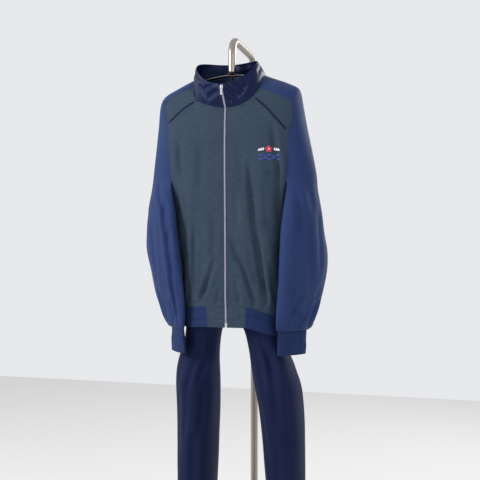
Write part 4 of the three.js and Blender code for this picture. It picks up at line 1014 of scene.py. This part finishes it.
# %% Topstitching
SLATE_SEAMS = [
    ("front_left", "collar", (3, 8)),
    ("front_right", "collar", (3, 8)),
    ("yoke_left", "collar", (3, 8)),
    ("yoke_right", "collar", (3, 8)),
    ("back", "collar", (3, 8)),
    ("front_left", "zip", (5,)),
    ("front_right", "zip", (5,)),
    ("front_left", "hem_front_left", (2.5,)),
    ("front_right", "hem_front_right", (2.5,)),
    ("front_left", "hem_band", (2.5,)),
    ("front_right", "hem_band", (2.5,)),
    ("back", "hem_band", (2.5,)),
    ("hem_front_left", "front_left", (32,)),
    ("hem_front_right", "front_right", (32,)),
    ("back", "sleeve_left", (2.5,)),
    ("back", "sleeve_right", (2.5,)),
    ("front_left", "sleeve_left", (2.5,)),
    ("front_right", "sleeve_right", (2.5,)),
    ("yoke_left", "sleeve_left", (2.5,)),
    ("yoke_right", "sleeve_right", (2.5,)),
]
NAVY_SEAMS = [
    ("sleeve_left", "collar", (3, 8)),
    ("sleeve_right", "collar", (3, 8)),
    ("sleeve_left", "cuff_left", (2.5,)),
    ("sleeve_right", "cuff_right", (2.5,)),
    ("hem_band", "back", (32,)),
    ("hem_band", "front_left", (32,)),
    ("hem_band", "front_right", (32,)),
    ("collar", "zip", (5,)),
    ("leg_front_left", "leg_back_left", (2,)),
    ("leg_front_right", "leg_back_right", (2,)),
    ("leg_front_left", "waistband", (3,)),
    ("leg_front_right", "waistband", (3,)),
    ("leg_back_left", "waistband", (3,)),
    ("leg_back_right", "waistband", (3,)),
]
STITCH = {"step": 3.2 * MM, "long": 2.5 * MM, "radius": 0.32 * MM}
slate_thread, _ = new_material("slate_thread", (0.020, 0.030, 0.052), 0.6)
navy_thread, _ = new_material("navy_thread", (0.008, 0.012, 0.045), 0.55)
for name, table, thread, slot_name in (
    ("slate_topstitching", SLATE_SEAMS, slate_thread, "slate_knit"),
    ("navy_topstitching", NAVY_SEAMS, navy_thread, "navy_knit"),
):
    lines = [line for row in table for line in seam_lines(*row)]
    stitches = rods_along(name, lines, thread, STITCH["step"], STITCH["long"], STITCH["radius"])
    print(name, "rows:", len(lines), "faces:", len(stitches.data.polygons))

# %% [markdown]
# Behind the seams of the neck, the armholes and the hem, the raw edges are bound together in a soft roll.
# It shows inside the collar, and it keeps light from coming through the seam.

# %% Bound edges inside
ROLL = 1.1 * MM
ROLL_DEPTH = 1.3 * ROLL
ROLL_STEP, ROLL_LONG = 1.6 * MM, 2.4 * MM  # longer than the step, so that the rods join up
ROLLED_SEAMS = [("collar", beside) for beside in ("front", "yoke", "sleeve", "back")]
ROLLED_SEAMS += [("sleeve", beside) for beside in ("front", "yoke", "back", "cuff")]
ROLLED_SEAMS += [("hem_front", "front"), ("hem_band", "front"), ("hem_band", "back"), ("yoke", "front")]
BOUND_NODES = [node for node in CLOTH if not node.startswith(("leg", "waistband"))]


def roll_lines(first, second):
    lines = []
    for node in (n for n in BOUND_NODES if n.startswith(first)):
        for beside in (n for n in BOUND_NODES if n.startswith(second)):
            for line in seam_lines(node, beside, (0,)):
                lines.append([p - skins[node].find_nearest(p)[1] * ROLL_DEPTH for p in line])
    return lines


lines = [line for pair in ROLLED_SEAMS for line in roll_lines(*pair)]
bound_edges = rods_along("bound_edges", lines, navy_thread, ROLL_STEP, ROLL_LONG, ROLL)
print("bound edges:", len(lines), "faces:", len(bound_edges.data.polygons))

# %% [markdown]
# Hard pieces keep the form that the model gives them. A tube is rounded by subdivision, with its sharp
# edges creased, and a box gets a small bevel, because no real metal edge is razor sharp.

# %% Hard pieces
FLAT_WITHIN = math.radians(20)
EDGE_ABOVE = 35  # degrees from which an edge of the model counts as sharp
TUBE_SHADED_TO = math.radians(50)
BOX_SHADED_TO = math.radians(40)


def solid_copy(name, node, body, material):
    bm = bmesh.new()
    bm.from_mesh(nodes[node].data)
    bmesh.ops.remove_doubles(bm, verts=bm.verts, dist=MERGE)
    join_faces(bm, FLAT_WITHIN)
    mesh = bpy.data.meshes.new(name)
    bm.to_mesh(mesh)
    bm.free()
    thing = link_object(name, mesh, material)
    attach(thing, body)
    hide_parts(node)
    return thing


def rounded(thing, sharp=EDGE_ABOVE):
    """Round a tube but keep the edges that turn sharply."""
    bm = bmesh.new()
    bm.from_mesh(thing.data)
    layer = bm.edges.layers.float.new("crease_edge")
    for edge in bm.edges:
        if edge.calc_face_angle(math.pi) > math.radians(sharp):
            edge[layer] = 1.0
    bm.to_mesh(thing.data)
    bm.free()
    subdivision = thing.modifiers.new("round", "SUBSURF")
    subdivision.levels = subdivision.render_levels = 2
    finish_modifiers(thing)
    thing.data.shade_smooth()
    thing.data.set_sharp_from_angle(angle=TUBE_SHADED_TO)


def bevelled(thing, width):
    bevel = thing.modifiers.new("edges", "BEVEL")
    bevel.width = width
    bevel.segments = 3
    bevel.limit_method = "ANGLE"
    bevel.angle_limit = math.radians(EDGE_ABOVE)
    finish_modifiers(thing)
    thing.data.shade_smooth()
    thing.data.set_sharp_from_angle(angle=BOX_SHADED_TO)

# %% [markdown]
# The zip has a dark tape, a chain of lilac-grey teeth that lock from both sides, and metal parts that
# ride on it. The teeth are the rods again, laid across the line and shifted by half a step on the other
# side.

# %% Zip
tape_material, _ = new_material("zip_tape", (0.030, 0.030, 0.060), 0.7)
teeth_material, _ = new_material("zip_teeth", (0.36, 0.35, 0.47), 0.35)
zip_metal, _ = new_material("zip_metal", (0.72, 0.71, 0.73), 0.22, 1.0)
bevelled(solid_copy("zip_tape", "zip_chain", "root", tape_material), 0.4 * MM)
TOOTH = {"step": 2.0 * MM, "across": 2.7 * MM, "radius": 0.62 * MM, "from_middle": 0.95 * MM}
TEETH_PROUD = 0.25 * MM
LAID_ACROSS = (0, math.pi / 2, 0)
for name, side in SIDES:
    shift = Vector((side * TOOTH["from_middle"], -TEETH_PROUD, side * TOOTH["step"] / 4))
    line = [p + shift for p in chain_line]
    sizes = (TOOTH["step"], TOOTH["across"], TOOTH["radius"])
    teeth = rods_along(f"zip_teeth_{name}", [line], teeth_material, *sizes, LAID_ACROSS)
    print("zip teeth", name, "faces:", len(teeth.data.polygons))
ZIP_METAL = (("zip_box", "root", 0.6), ("zip_slider", "root", 0.35), ("pull_tab", "pull", 0.3))
for node, body, bevel in ZIP_METAL:
    bevelled(solid_copy(f"{node}_metal", node, body, zip_metal), bevel * MM)

# %% [markdown]
# The piping is a dark cord on the yoke seam. The stand is plain: satin steel tube, a powder-coated plate
# and bright clips.

# %% Piping and stand
piping_material, piping_shader = new_material("piping", (0.006, 0.011, 0.042), 0.7)
piping_shader.inputs["Specular IOR Level"].default_value = 0.1
PIPING_EDGE_ABOVE = 75  # only the cut ends of the piping are sharp
for name, _ in SIDES:
    piping = solid_copy(f"piping_{name}_cord", f"piping_{name}", "root", piping_material)
    rounded(piping, PIPING_EDGE_ABOVE)
tube_metal, _ = new_material("stand_tube", (0.34, 0.31, 0.27), 0.32, 1.0)
plate_paint, _ = new_material("stand_plate", (0.045, 0.045, 0.05), 0.5)
clip_metal, _ = new_material("clip_metal", (0.6, 0.6, 0.62), 0.25, 1.0)
for node in ("stand_post", "shoulder_bar", "trouser_bar"):
    rounded(solid_copy(f"{node}_tube", node, "root", tube_metal))
bevelled(solid_copy("stand_base_plate", "stand_base", "root", plate_paint), 2.0 * MM)
for node in ("clip_left", "clip_right"):
    bevelled(solid_copy(f"{node}_metal", node, "root", clip_metal), 0.5 * MM)

# %% [markdown]
# A small embroidered motif sits on the left chest: a red flower between two white sprays, over blue
# waves. Each stitched shape is a raised satin pad, laid on the cloth by rays from the front.

# %% Satin pad
MOTIF_MIDDLE = (119, 1292)
PAD_LIFT = 0.75
PAD_SUNK = 0.1
PAD_ROWS, PAD_COLS = 12, 7


def satin_pad(x, z, turn, long, wide):
    """A raised leaf shape: where it starts, which way it runs, its length and its width."""
    rows, cols = PAD_ROWS, PAD_COLS
    points, faces = [], []
    angle = math.radians(turn)
    for i in range(rows):
        s = i / (rows - 1)
        half = wide / 2 * math.sin(math.pi * min(max(s, 0.02), 0.98)) ** 0.7
        spine_x = x + long * s * math.cos(angle)
        spine_z = z + long * s * math.sin(angle)
        for j in range(cols):
            t = 2 * j / (cols - 1) - 1
            px = MOTIF_MIDDLE[0] + spine_x - half * t * math.sin(angle)
            pz = MOTIF_MIDDLE[1] + spine_z + half * t * math.cos(angle)
            place, normal, _, _ = skins["front_left"].ray_cast(Vector((px * MM, IN_FRONT, pz * MM)), BEHIND)
            dome = math.sqrt(max(1 - t * t, 0)) * min(1, 4 * s, 4 * (1 - s))
            points.append(place + normal * ((PAD_LIFT * dome - PAD_SUNK) * MM))
    for i in range(rows - 1):
        for j in range(cols - 1):
            a = i * cols + j
            faces.append((a, a + cols, a + cols + 1, a + 1))
    return points, faces

# %% [markdown]
# The flower is one pad turned five times round a white middle, each spray is three pairs of leaves, and
# the waves are pads that tilt up and down in turn. Each row below is a pad's start, turn, length and
# width.

# %% Motif
MOTIF = {
    "red": [(0, 10, 90 + 72 * i, 9.5, 6.5) for i in range(5)],
    "white": [
        (side * (12 + 5.5 * i), 8 - 0.8 * i, 90 - side * (28 + 10 * k), 7.5 - 0.8 * i, 3.2)
        for side in (1, -1)
        for i in range(3)
        for k in (0, 6)
    ]
    + [(-2, 10, 0, 4, 4)],
    "blue": [
        (-27 + 11 * i, -7 - 8 * row, 14 - 28 * ((i + row) % 2), 12, 3.2) for i in range(5) for row in (0, 1)
    ],
}
THREADS = {"red": (0.55, 0.02, 0.05), "white": (0.80, 0.80, 0.82), "blue": (0.03, 0.06, 0.42)}
for name, pads in MOTIF.items():
    points, faces = [], []
    for row in pads:
        pad_points, pad_faces = satin_pad(*row)
        faces += [tuple(v + len(points) for v in face) for face in pad_faces]
        points += pad_points
    mesh = bpy.data.meshes.new(f"motif_{name}")
    mesh.from_pydata([tuple(p) for p in points], [], faces)
    thread, _ = new_material(f"motif_{name}", THREADS[name], 0.4)
    pad = link_object(f"motif_{name}", mesh, thread)
    mesh.shade_smooth()
    backing = pad.modifiers.new("backing", "SOLIDIFY")
    backing.thickness = 0.3 * MM
    backing.offset = -1
    finish_modifiers(pad)
    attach(pad, "root")
    print("motif", name, "pads:", len(pads))

# %% Close the notebook
bpy.context.view_layer.update()
